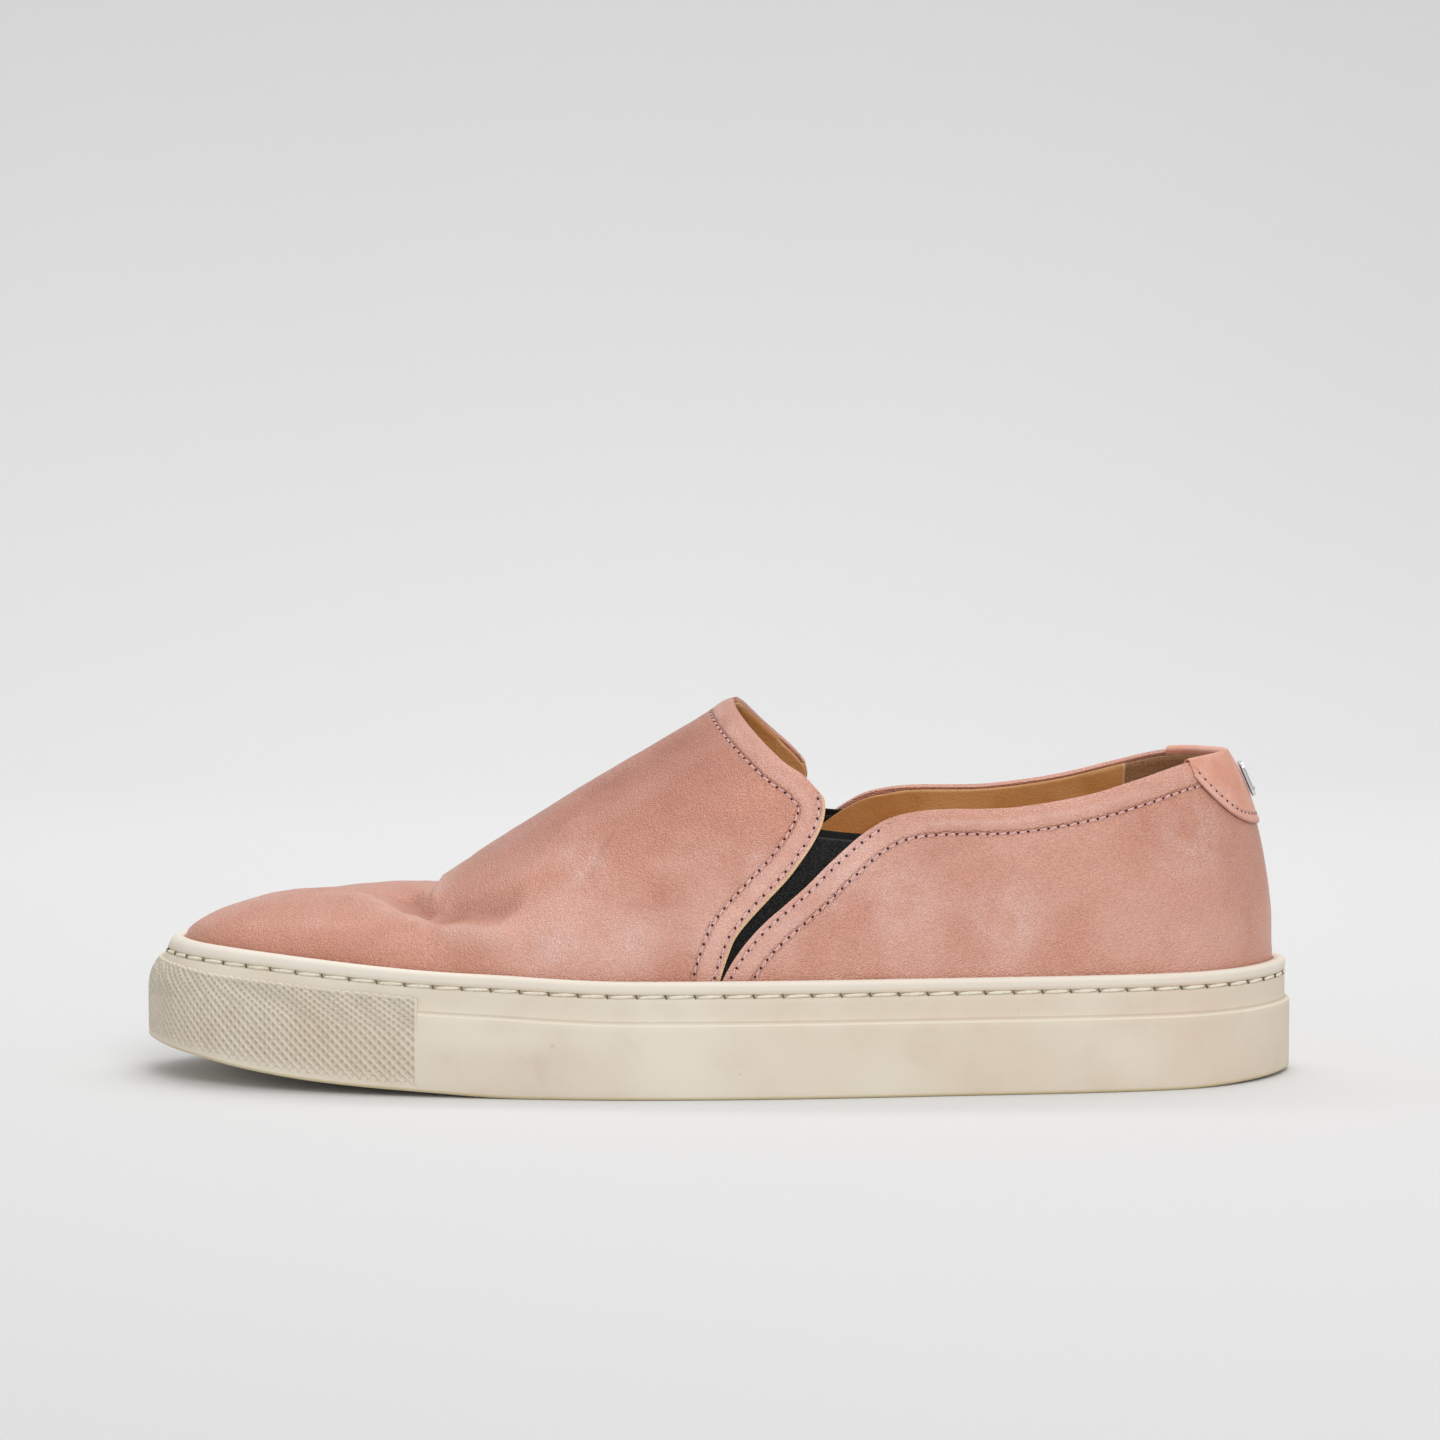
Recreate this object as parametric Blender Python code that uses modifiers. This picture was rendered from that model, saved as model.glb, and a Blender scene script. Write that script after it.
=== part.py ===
"""A left slip-on sneaker: leather upper on a stitched rubber cupsole, with elastic gores at the instep.

Units are metres, +Z is up, the toe points to -X and the outer (lateral) side of the foot faces -Y.
The origin is on the floor, under the middle of the sole's length and width.
"""

import math

import bmesh
import bpy
import numpy as np
from mathutils import Vector

# Driving sizes of the shoe

LENGTH = 0.295              # sole, heel to toe
BALL_WIDTH = 0.105          # sole, widest at the ball
HEEL_WIDTH = 0.079          # sole, across the heel
SOLE_HEIGHT = 0.029         # floor to the line where leather meets rubber, from heel to ball
TOE_RISE = 0.006            # how much that line climbs towards the toe
TOE_SPRING = 0.0095         # underside of the toe above the floor
HEEL_LIFT = 0.0008          # bevel under the back edge of the heel
CUP_DEPTH = 0.012           # from the leather line down to the floor of the cup

TOE_BOX_RISE = 0.0180       # top of the toe box above the leather line
INSTEP_RISE = 0.0673        # top of the vamp above the leather line
COLLAR_RISE = 0.0415        # lowest stretch of the collar above the leather line
HEEL_RISE = 0.0530          # back of the collar above the leather line
MEDIAL_RAISE = 0.0012       # the inner side of the collar stands this much higher
MEDIAL_FORWARD = 0.0020     # and its gore lies this much nearer the toe

WALL = 0.0018               # leather with its lining
BULGE = 0.0010              # how far the side swells out over the rubber edge
MARGIN = 0.0090             # lasting margin turned in under the insole
NOTCH_DEPTH = 0.0020        # how far the gore slit runs down behind the rubber edge
CLEARANCE = 0.0003          # between pieces that touch

# Steps of the sole's side, each measured down from the leather line or in from the widest outline

STITCH_DROP = 0.0034
STEP_DROP = 0.0102
BUMPER_DROP = 0.0063
BUMPER_END = 0.759          # share of the length, from the heel
EDGE_BEVEL = 0.0009
STEP_LEDGE = 0.0009
BAND_LEAN = 0.0004
GROOVE_DEPTH = 0.0006
GROOVE_HALF = 0.0007
BEAD_SWELL = 0.0002
BEAD_SHOULDER = 0.0011
BEAD_CROWN = 0.0003
SIDE_INSET = 0.0050         # outline to leather along the sides
HEEL_INSET = 0.0046
TOE_INSET = 0.0096
TOE_LEAN = 0.0042           # the toe's wall leans in by this much above its bend
BUMPER_FALL = 0.0006        # and the bumper's by this much more, so that it ends nearly flush with the band

# Tread, insole, gores, heel tab and its plate

TREAD_GROOVE = 0.0012
TREAD_GROOVE_WIDTH = 0.0022
TREAD_PITCH = 0.0095
TREAD_RIM = 0.0100

INSOLE_THICKNESS = 0.0040
INSOLE_EDGE_GAP = 0.0012

GORE_THICKNESS = 0.0012
GORE_LAP = 0.0060           # how far the elastic reaches behind the leather on each side of the slit
GORE_TOP_SHARE = 0.90       # top hem, as a share of the collar's rise

TAB_THICKNESS = 0.0008
TAB_DROP = 0.0182           # tip of the tab below the back of the collar
TAB_SIDE_DROP = 0.0038      # and its two front ends
TAB_ROUNDNESS = 3.0
TAB_REACH = 0.0125          # its front corners lie this far forward of the collar's back
TAB_FLAP = 0.0080           # turned in over the rim
TAB_RIM_GAP = 0.0005

PLATE_WIDTH = 0.0070
PLATE_HEIGHT = 0.0095
PLATE_THICKNESS = 0.0009
PLATE_DROP = 0.0085         # centre of the plate below the back of the collar

# Faces round the shoe and up its sides

VAMP_COLUMNS = 50
QUARTER_COLUMNS = 38
VAMP_ROWS = 19
ROW_CROWD = 1.2             # draws the vamp's rows towards the leather line
QUARTER_ROWS = 8
SLANT_END = 0.31            # share of the quarters' columns over which they lean like the slit
BUMPER_GAP = 0.001          # between the two close columns at each end of the toe bumper
SECTION_STEPS = 40
OUTLINE_STEPS = 16

# Outline of the sole, anticlockwise from the back of the heel along the lateral side.
# Columns: share of LENGTH from the heel, share of half BALL_WIDTH, share of half HEEL_WIDTH.

OUTLINE = (
    (0.0000, 0.000, 0.010),
    (0.0085, 0.000, -0.253),
    (0.0290, 0.000, -0.519),
    (0.0560, 0.000, -0.734),
    (0.0900, 0.000, -0.899),
    (0.1270, 0.000, -0.995),
    (0.1710, 0.000, -1.063),
    (0.2220, -0.421, -0.560),
    (0.3070, -0.895, 0.000),
    (0.3915, -0.950, 0.000),
    (0.4760, -0.990, 0.000),
    (0.5610, -1.000, 0.000),
    (0.6220, -0.980, 0.000),
    (0.6900, -0.931, 0.000),
    (0.7575, -0.875, 0.000),
    (0.8220, -0.795, 0.000),
    (0.8795, -0.690, 0.000),
    (0.9305, -0.545, 0.000),
    (0.9695, -0.350, 0.000),
    (0.9925, -0.120, 0.000),
    (1.0000, 0.080, 0.000),
    (0.9925, 0.280, 0.000),
    (0.9695, 0.505, 0.000),
    (0.9305, 0.690, 0.000),
    (0.8795, 0.840, 0.000),
    (0.8220, 0.930, 0.000),
    (0.7575, 0.983, 0.000),
    (0.6900, 1.000, 0.000),
    (0.6220, 0.983, 0.000),
    (0.5475, 0.926, 0.000),
    (0.4730, 0.848, 0.000),
    (0.3980, 0.400, 0.505),
    (0.3240, 0.000, 0.987),
    (0.2560, 0.000, 0.972),
    (0.1880, 0.000, 0.977),
    (0.1340, 0.000, 0.962),
    (0.0900, 0.000, 0.891),
    (0.0560, 0.000, 0.742),
    (0.0290, 0.000, 0.532),
    (0.0085, 0.000, 0.270),
)

# How the sole curls up at the toe, and where the toe's wall bends inwards.
# Columns: share of LENGTH from the heel, share of TOE_RISE, share of TOE_SPRING, share of SOLE_HEIGHT.

TOE_CURL = (
    (0.00, 0.00, 0.00, 0.56),
    (0.58, 0.00, 0.00, 0.56),
    (0.64, 0.08, 0.00, 0.56),
    (0.69, 0.21, 0.02, 0.56),
    (0.75, 0.33, 0.13, 0.56),
    (0.81, 0.52, 0.24, 0.58),
    (0.86, 0.70, 0.37, 0.62),
    (0.91, 0.86, 0.57, 0.67),
    (0.95, 0.95, 0.78, 0.71),
    (1.00, 1.00, 1.00, 0.73),
)

# Centre line of the last, above the leather line. Behind the throat it is only a guide for the sides.
# Columns: share of LENGTH from the heel, share of TOE_BOX_RISE, share of INSTEP_RISE, ridge's share of half BALL_WIDTH.

RIDGE = (
    (0.145, 0.000, 1.040, 0.000),
    (0.230, 0.000, 0.985, -0.020),
    (0.300, 0.000, 0.975, 0.000),
    (0.380, 0.000, 1.020, 0.060),
    (0.430, 0.000, 1.060, 0.110),
    (0.465, 0.000, 1.030, 0.130),
    (0.488, 0.000, 0.990, 0.130),
    (0.508, 0.000, 0.946, 0.125),
    (0.534, 0.000, 0.877, 0.120),
    (0.561, 0.000, 0.808, 0.115),
    (0.587, 0.000, 0.742, 0.110),
    (0.613, 0.000, 0.672, 0.105),
    (0.640, 0.000, 0.604, 0.100),
    (0.666, 0.000, 0.532, 0.095),
    (0.692, 0.000, 0.458, 0.090),
    (0.719, 0.000, 0.377, 0.090),
    (0.732, 0.000, 0.328, 0.090),
    (0.744, 1.080, 0.000, 0.090),
    (0.758, 1.075, 0.000, 0.090),
    (0.790, 1.060, 0.000, 0.090),
    (0.839, 0.985, 0.000, 0.084),
)
TOE_CREST = 0.839           # where the toe box stops climbing, share of LENGTH
TOE_ROUND_LOW = 0.40        # how steeply the toe starts upwards
TOE_ROUND_TOP = 0.50        # how flat it ends

# Fullness of the half sections, as handle lengths of a cubic curve from leather line to ridge.
# Columns: share of LENGTH from the heel, lateral low, lateral top, medial low, medial top.

FULLNESS = (
    (0.015, 0.75, 0.42, 0.75, 0.42),
    (0.060, 0.73, 0.45, 0.73, 0.45),
    (0.150, 0.68, 0.50, 0.68, 0.50),
    (0.300, 0.60, 0.55, 0.62, 0.55),
    (0.480, 0.50, 0.46, 0.55, 0.50),
    (0.600, 0.48, 0.44, 0.52, 0.52),
    (0.690, 0.48, 0.46, 0.52, 0.56),
    (0.745, 0.50, 0.50, 0.54, 0.60),
    (0.800, 0.54, 0.55, 0.55, 0.62),
    (0.860, 0.57, 0.60, 0.57, 0.62),
    (0.960, 0.60, 0.60, 0.60, 0.60),
)

# Where the leather has creased behind the toe box: soft troughs and rolls, each along a line on the vamp.
# Columns: share of LENGTH from the heel and distance round from the ridge as a share of half BALL_WIDTH,
# for the line's two ends, then half its breadth as a share of half BALL_WIDTH, and its height as a share
# of TOE_BOX_RISE. Negative distances are lateral, negative heights are troughs.

FOLDS = (
    (0.800, -0.050, 0.758, -0.420, 0.150, -0.180),
    (0.757, -0.450, 0.700, -0.800, 0.110, -0.120),
    (0.820, -0.440, 0.757, -0.740, 0.110, 0.055),
    (0.757, -0.740, 0.680, -1.040, 0.110, 0.070),
    (0.731, 0.050, 0.742, -0.420, 0.090, 0.060),
    (0.655, -0.600, 0.590, -0.850, 0.240, -0.060),
    (0.765, 0.400, 0.715, 0.850, 0.130, -0.090),
)

# Lateral edge of the quarter, up from the foot of the gore slit and back along the collar.
# Columns: share of LENGTH from the heel, share of COLLAR_RISE, share of HEEL_RISE.

QUARTER_EDGE = (
    (0.5024, 0.000, 0.000),
    (0.4969, 0.075, 0.000),
    (0.4908, 0.145, 0.000),
    (0.4797, 0.248, 0.000),
    (0.4654, 0.352, 0.000),
    (0.4475, 0.458, 0.000),
    (0.4305, 0.561, 0.000),
    (0.4149, 0.667, 0.000),
    (0.3980, 0.773, 0.000),
    (0.3858, 0.843, 0.000),
    (0.3746, 0.896, 0.000),
    (0.3617, 0.944, 0.000),
    (0.3414, 0.980, 0.000),
    (0.3156, 0.997, 0.000),
    (0.2780, 1.000, 0.000),
    (0.2481, 0.988, 0.018),
    (0.1875, 0.660, 0.330),
    (0.1427, 0.300, 0.680),
    (0.1014, 0.080, 0.918),
    (0.0700, 0.000, 1.000),
    (0.0000, 0.000, 1.010),
)
SLIT_ROWS = 12              # rows of QUARTER_EDGE, from the first, that run up the slit

# Lateral edge of the vamp, up the front of the gore slit to its rounded corner.
# Columns: share of LENGTH from the heel, share of INSTEP_RISE.

SLIT_EDGE = (
    (0.5041, 0.000),
    (0.5010, 0.046),
    (0.4976, 0.089),
    (0.4915, 0.153),
    (0.4803, 0.217),
    (0.4617, 0.303),
    (0.4471, 0.368),
    (0.4353, 0.432),
    (0.4247, 0.498),
    (0.4169, 0.563),
    (0.4139, 0.618),
)

# Edge of the throat from there up to the ridge, which is fuller on the medial side. Same columns. Its first
# row or two, CORNER_ROWS, belong to the rounded corner that the vamp's side edges end in.

THROAT_LATERAL = (
    (0.4146, 0.658),
    (0.4227, 0.700),
    (0.4315, 0.739),
    (0.4471, 0.783),
    (0.4634, 0.848),
    (0.4780, 0.918),
    (0.4863, 0.968),
    (0.4878, 1.000),
)
THROAT_MEDIAL = (
    (0.4190, 0.677),
    (0.4217, 0.731),
    (0.4349, 0.795),
    (0.4597, 0.894),
    (0.4810, 0.972),
    (0.4878, 1.000),
)
CORNER_ROWS = {-1: 1, 1: 2}


def table(rows, column, at):
    """A column of a table at the given share, through a smooth curve that doesn't overshoot its rows."""
    ordered = sorted(rows)
    x = np.array([row[0] for row in ordered])
    y = np.array([row[column] for row in ordered])
    steps = np.diff(y) / np.diff(x)
    slopes = np.concatenate([steps[:1], (steps[:-1] + steps[1:]) / 2, steps[-1:]])
    turns = np.concatenate([[False], steps[:-1] * steps[1:] <= 0, [False]])
    slopes[turns] = 0
    k = int(np.clip(np.searchsorted(x, at) - 1, 0, len(x) - 2))
    width = x[k + 1] - x[k]
    t = float(np.clip((at - x[k]) / width, 0, 1))
    start = (1 + 2 * t) * (1 - t) ** 2 * y[k] + t * (1 - t) ** 2 * width * slopes[k]
    end = t * t * (3 - 2 * t) * y[k + 1] + t * t * (t - 1) * width * slopes[k + 1]
    return float(start + end)


def station(x):
    """Share of the length, from the heel, of a place along the shoe."""
    return 0.5 - x / LENGTH


def along(share):
    return LENGTH * (0.5 - share)


def smooth_step(low, high, value):
    t = min(1.0, max(0.0, (value - low) / (high - low)))
    return t * t * (3 - 2 * t)


def curve_through(points, steps, closed):
    """Points on a Catmull-Rom curve through the given ones."""
    points = [np.array(p, float) for p in points]
    count = len(points)
    made = []
    for i in range(count if closed else count - 1):
        if closed:
            a, b, c, d = (points[(i + k) % count] for k in (-1, 0, 1, 2))
        else:
            a, b = points[max(i - 1, 0)], points[i]
            c, d = points[i + 1], points[min(i + 2, count - 1)]
        for k in range(steps):
            t = k / steps
            made.append(
                0.5 * (2 * b + (c - a) * t + (2 * a - 5 * b + 4 * c - d) * t * t
                       + (3 * b - a - 3 * c + d) * t ** 3)
            )
    if not closed:
        made.append(points[-1])
    return np.array(made)


def place_on(line, share):
    """The point that lies at a share of a polyline's length."""
    lengths = np.concatenate([[0], np.cumsum(np.linalg.norm(np.diff(line, axis=0), axis=1))])
    at = share * lengths[-1]
    return np.array([np.interp(at, lengths, line[:, k]) for k in range(line.shape[1])])


def leather_line(x):
    """Height of the line where the leather leaves the rubber."""
    return SOLE_HEIGHT + TOE_RISE * table(TOE_CURL, 1, station(x))


def underside(x):
    lift = HEEL_LIFT * smooth_step(0.88, 1.0, 1 - station(x))
    return TOE_SPRING * table(TOE_CURL, 2, station(x)) + lift


def leather_inset(x):
    """How far the leather stands in from the sole's outline."""
    toe = smooth_step(0.70, 1.0, station(x))
    heel = smooth_step(0.70, 1.0, 1 - station(x))
    return SIDE_INSET + (TOE_INSET - SIDE_INSET) * toe + (HEEL_INSET - SIDE_INSET) * heel


def outline_points():
    half_ball = BALL_WIDTH / 2
    half_heel = HEEL_WIDTH / 2
    rows = [(along(u), ball * half_ball + heel * half_heel) for u, ball, heel in OUTLINE]
    return curve_through(rows, OUTLINE_STEPS, closed=True)


def inward_normals(loop):
    ahead = np.roll(loop, -1, axis=0) - np.roll(loop, 1, axis=0)
    ahead /= np.linalg.norm(ahead, axis=1)[:, None]
    turn = np.stack([ahead[:, 1], -ahead[:, 0]], axis=1)
    middle = loop.mean(axis=0)
    inward = ((middle - loop) * turn).sum(axis=1)
    return turn if inward.sum() > 0 else -turn


OUTER = outline_points()
INWARD = inward_normals(OUTER)
FEATHER = OUTER + INWARD * np.array([[leather_inset(x)] for x in OUTER[:, 0]])
TOE_TIP = int(np.argmin(FEATHER[:, 0]))
HEEL_BACK = int(np.argmax(FEATHER[:, 0]))


def side_line(side):
    """The leather line of one side in plan, from heel to toe. side is -1 for lateral and 1 for medial."""
    count = len(FEATHER)
    steps = (TOE_TIP - HEEL_BACK) % count if side < 0 else (HEEL_BACK - TOE_TIP) % count
    first = HEEL_BACK
    picked = [(first + k if side < 0 else first - k) % count for k in range(steps + 1)]
    return FEATHER[picked]


SIDES = {-1: side_line(-1), 1: side_line(1)}
HEEL_PIVOT = along(RIDGE[0][0])


def half_breadth(x, side):
    """Where the leather line of a side lies across the shoe."""
    line = SIDES[side]
    return float(np.interp(-x, -line[:, 0], line[:, 1]))


def ridge_place(x):
    return table(RIDGE, 3, station(x)) * BALL_WIDTH / 2


RIDGE_RISE = [(u, toe * TOE_BOX_RISE + instep * INSTEP_RISE) for u, toe, instep, _place in RIDGE]
RIM_RISE = [(u, side * COLLAR_RISE + back * HEEL_RISE) for u, side, back in QUARTER_EDGE]


def ridge_height(x):
    """Height of the last's centre line."""
    crest = along(TOE_CREST)
    if x >= crest:
        return SOLE_HEIGHT + table(RIDGE_RISE, 1, station(x))
    tip = FEATHER[TOE_TIP][0]
    top = ridge_height(crest)
    low = leather_line(tip)
    t = np.linspace(0, 1, SECTION_STEPS)
    run = 3 * (1 - t) * t * t * (1 - TOE_ROUND_TOP) + t ** 3
    rise = 3 * (1 - t) ** 2 * t * TOE_ROUND_LOW + 3 * (1 - t) * t * t + t ** 3
    share = np.clip((x - tip) / (crest - tip), 0, 1)
    return float(low + (top - low) * np.interp(share, run, rise))


def bezier(a, b, c, d, t):
    return a * (1 - t) ** 3 + 3 * b * (1 - t) ** 2 * t + 3 * c * (1 - t) * t * t + d * t ** 3


def rib(foot, side):
    """A half section from a point of the leather line up to the ridge, as points in space."""
    x, y = foot
    spine_x = min(max(x, FEATHER[TOE_TIP][0]), HEEL_PIVOT)
    spine = np.array([spine_x, ridge_place(max(spine_x, along(TOE_CREST)))])
    low = leather_line(x)
    rise = max(ridge_height(spine_x) - low, 1e-6)
    inward = spine - np.array([x, y])
    reach = np.linalg.norm(inward)
    inward = inward / max(reach, 1e-9)
    first = 1 if side < 0 else 3
    u = station(x)
    swell = BULGE * smooth_step(0.0, 0.2, u) * (1 - smooth_step(0.6, 0.9, u))
    t = np.linspace(0, 1, SECTION_STEPS)
    across = bezier(0, -swell, reach * (1 - table(FULLNESS, first + 1, u)), reach, t)
    height = bezier(0, rise * table(FULLNESS, first, u), rise, rise, t)
    return np.stack([x + inward[0] * across, y + inward[1] * across, low + height], axis=1)


def on_rib(points, height):
    """The point of a rib at a height."""
    return np.array([np.interp(height, points[:, 2], points[:, k]) for k in range(3)])


def side_point(x, height, side):
    """The last's surface at a place along the shoe and a height, on one side."""
    return on_rib(rib((x, half_breadth(x, side)), side), height)


def smooth_girth_point(x, girth):
    """The last's surface at a distance from the ridge, measured round the section. Negative is lateral."""
    side = -1 if girth < 0 else 1
    points = rib((x, half_breadth(x, side)), side)[::-1]
    lengths = np.concatenate([[0], np.cumsum(np.linalg.norm(np.diff(points, axis=0), axis=1))])
    return np.array([np.interp(abs(girth), lengths, points[:, k]) for k in range(3)])


def fold_height(x, girth):
    """How far the folds lift or sink the leather at a place on the vamp."""
    half = BALL_WIDTH / 2
    at = np.array([x, girth])
    total = 0.0
    for u_first, g_first, u_last, g_last, breadth, height in FOLDS:
        first = np.array([along(u_first), g_first * half])
        line = np.array([along(u_last), g_last * half]) - first
        t = np.clip((at - first).dot(line) / line.dot(line), 0, 1)
        away = np.linalg.norm(at - first - line * t) / (breadth * half)
        total += height * TOE_BOX_RISE * math.exp(-away * away)
    return total


def girth_point(x, girth):
    """The vamp's surface, folds included."""
    step = 0.001
    ahead = smooth_girth_point(x - step, girth) - smooth_girth_point(x + step, girth)
    low = max(girth - step, -step) if girth > 0 else girth - step
    round_it = smooth_girth_point(x, low + 2 * step) - smooth_girth_point(x, low)
    outward = np.cross(round_it, ahead)
    outward /= np.linalg.norm(outward)
    return smooth_girth_point(x, girth) + outward * fold_height(x, girth)


def girth_of(x, side, height):
    """Distance round the section from the ridge down to a height."""
    points = rib((x, half_breadth(x, side)), side)
    cut = on_rib(points, height)
    above = points[points[:, 2] > height]
    line = np.concatenate([[cut], above])
    return side * float(np.linalg.norm(np.diff(line, axis=0), axis=1).sum())


def rim_height(x, side):
    """Height of the quarter's edge, along the slit and the collar."""
    shift = MEDIAL_FORWARD if side > 0 else 0.0
    fade = smooth_step(0.0, 0.3, station(x))
    rise = table(RIM_RISE, 1, station(x + shift * fade))
    raised = MEDIAL_RAISE * min(1.0, rise / COLLAR_RISE) * fade if side > 0 else 0.0
    return SOLE_HEIGHT + rise + raised


def vamp_edge(side):
    """Rows of the vamp's free edge on one side, from the slit's foot up to the ridge."""
    shift = MEDIAL_FORWARD if side > 0 else 0.0
    raised = MEDIAL_RAISE if side > 0 else 0.0
    made = []
    for u, share in SLIT_EDGE:
        lift = raised * smooth_step(0.0, 0.5, share)
        made.append((along(u) - shift, SOLE_HEIGHT + share * INSTEP_RISE + lift))
    for u, share in THROAT_LATERAL if side < 0 else THROAT_MEDIAL:
        made.append((along(u), SOLE_HEIGHT + share * INSTEP_RISE))
    return made


def slit_front(side):
    """The vamp's edge along a slit and round its top corner, as places along the shoe and heights."""
    rows = vamp_edge(side)[:len(SLIT_EDGE) + CORNER_ROWS[side]]
    return curve_through(rows, 6, closed=False)


def throat_edge(side):
    """The vamp's edge from a slit's top corner up to the ridge, as places along the shoe and heights."""
    rows = vamp_edge(side)[len(SLIT_EDGE) + CORNER_ROWS[side] - 1:]
    return curve_through(rows, 6, closed=False)


def foot_index(x, side):
    """Place on the closed leather line, as a count along FEATHER, of a side's point."""
    count = len(FEATHER)
    steps = (TOE_TIP - HEEL_BACK) % count if side < 0 else (HEEL_BACK - TOE_TIP) % count
    at = float(np.interp(-x, -SIDES[side][:, 0], np.arange(steps + 1)))
    return HEEL_BACK + at if side < 0 else HEEL_BACK - at


def outer_index(x, side):
    """The same for the sole's outline, taken where it stands at x."""
    guess = foot_index(x, side)
    near = np.linspace(guess - OUTLINE_STEPS, guess + OUTLINE_STEPS, 200)
    gaps = [abs(loop_at(OUTER, place)[0] - x) for place in near]
    return float(near[int(np.argmin(gaps))])


def loop_at(loop, index):
    count = len(loop)
    k = math.floor(index)
    t = index - k
    return loop[k % count] * (1 - t) + loop[(k + 1) % count] * t


def spread(first, last, count):
    """Places between two of FEATHER, evenly spaced by length."""
    fine = np.linspace(first, last, 600)
    line = np.array([loop_at(FEATHER, i) for i in fine])
    lengths = np.concatenate([[0], np.cumsum(np.linalg.norm(np.diff(line, axis=0), axis=1))])
    return [float(np.interp(k / count * lengths[-1], lengths, fine)) for k in range(count + 1)]


def columns():
    """Places on FEATHER of the vamp's columns and the quarter's, both ends included."""
    lateral = foot_index(slit_front(-1)[0][0], -1)
    medial = foot_index(slit_front(1)[0][0], 1)
    count = len(FEATHER)
    vamp = spread(lateral, medial + count, VAMP_COLUMNS)
    quarter = spread(medial, lateral, QUARTER_COLUMNS)
    return with_bumper_ends(vamp), quarter


def with_bumper_ends(places):
    """The vamp's columns with a close pair at each end of the toe bumper."""
    count = len(FEATHER)
    made = list(places)
    for side in (-1, 1):
        end = outer_index(along(BUMPER_END), side)
        end += count if side > 0 else 0
        nearest = min(range(1, len(made) - 1), key=lambda k: abs(made[k] - end))
        here, beyond = loop_at(FEATHER, end), loop_at(FEATHER, end + 1)
        gap = BUMPER_GAP / 2 / np.linalg.norm(beyond - here)
        made[nearest] = end - gap
        made.insert(nearest + 1, end + gap)
    return made


def quarter_feet():
    """Places on FEATHER of the quarter's columns above the slits, which part there from the vamp's."""
    medial = foot_index(along(QUARTER_EDGE[0][0]) - MEDIAL_FORWARD, 1)
    lateral = foot_index(along(QUARTER_EDGE[0][0]), -1)
    return spread(medial, lateral, QUARTER_COLUMNS)


VAMP_FEET, QUARTER_FEET = columns()
PARTED_FEET = quarter_feet()
RING_FEET = VAMP_FEET[:-1] + [place + len(FEATHER) for place in QUARTER_FEET[:-1]]


def ring(inset_of, height_of):
    """A loop round the shoe: how far in from the sole's outline, and how high, at each column."""
    made = []
    for place in RING_FEET:
        edge = loop_at(OUTER, place)
        inward = loop_at(INWARD, place)
        inward = inward / np.linalg.norm(inward)
        at = edge + inward * inset_of(edge[0])
        made.append((at[0], at[1], height_of(edge[0])))
    return made


def surface(name, colour, roughness, metallic=0.0):
    material = bpy.data.materials.new(name)
    material.use_nodes = True
    shader = material.node_tree.nodes["Principled BSDF"]
    shader.inputs["Base Color"].default_value = (*colour, 1)
    shader.inputs["Roughness"].default_value = roughness
    shader.inputs["Metallic"].default_value = metallic
    return material


def finish(name, mesh, material, collection):
    """A smooth-shaded object of a bmesh, with its normals pointing out."""
    bmesh.ops.recalc_face_normals(mesh, faces=mesh.faces)
    data = bpy.data.meshes.new(name)
    mesh.to_mesh(data)
    mesh.free()
    data.shade_smooth()
    data.set_sharp_from_angle(angle=math.radians(40))
    data.materials.append(material)
    made = bpy.data.objects.new(name, data)
    collection.objects.link(made)
    return made


def thicken(made, thickness, outwards):
    """Gives an open surface its wall, on the side that its normals face or on the other."""
    wall = made.modifiers.new("wall", "SOLIDIFY")
    wall.thickness = thickness
    wall.offset = 1 if outwards else -1
    wall.use_even_offset = True
    wall.use_quality_normals = True
    return made


def bridge(mesh, low, high, closed):
    """Quads between two rows of vertices."""
    count = len(low)
    for k in range(count if closed else count - 1):
        n = (k + 1) % count
        corners = [low[k], low[n], high[n], high[k]]
        distinct = [v for i, v in enumerate(corners) if v not in corners[:i]]
        if len(distinct) > 2:
            mesh.faces.new(distinct)


def ladder(mesh, loop):
    """Closes a loop with rungs from side to side, so that the floor it makes bends only lengthwise."""
    points = [v.co for v in loop]
    count = len(loop)
    toe = min(range(count), key=lambda k: points[k].x)
    left = [loop[(toe + k) % count] for k in range(count)]
    mesh.faces.new([left[0], left[1], left[-1]])
    i, j = 1, count - 1
    while j - i > 1:
        if left[i + 1].co.x < left[j - 1].co.x:
            mesh.faces.new([left[i], left[i + 1], left[j]])
            i += 1
        else:
            mesh.faces.new([left[i], left[j - 1], left[j]])
            j -= 1


def row_of(mesh, points):
    return [mesh.verts.new(p) for p in points]


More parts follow.
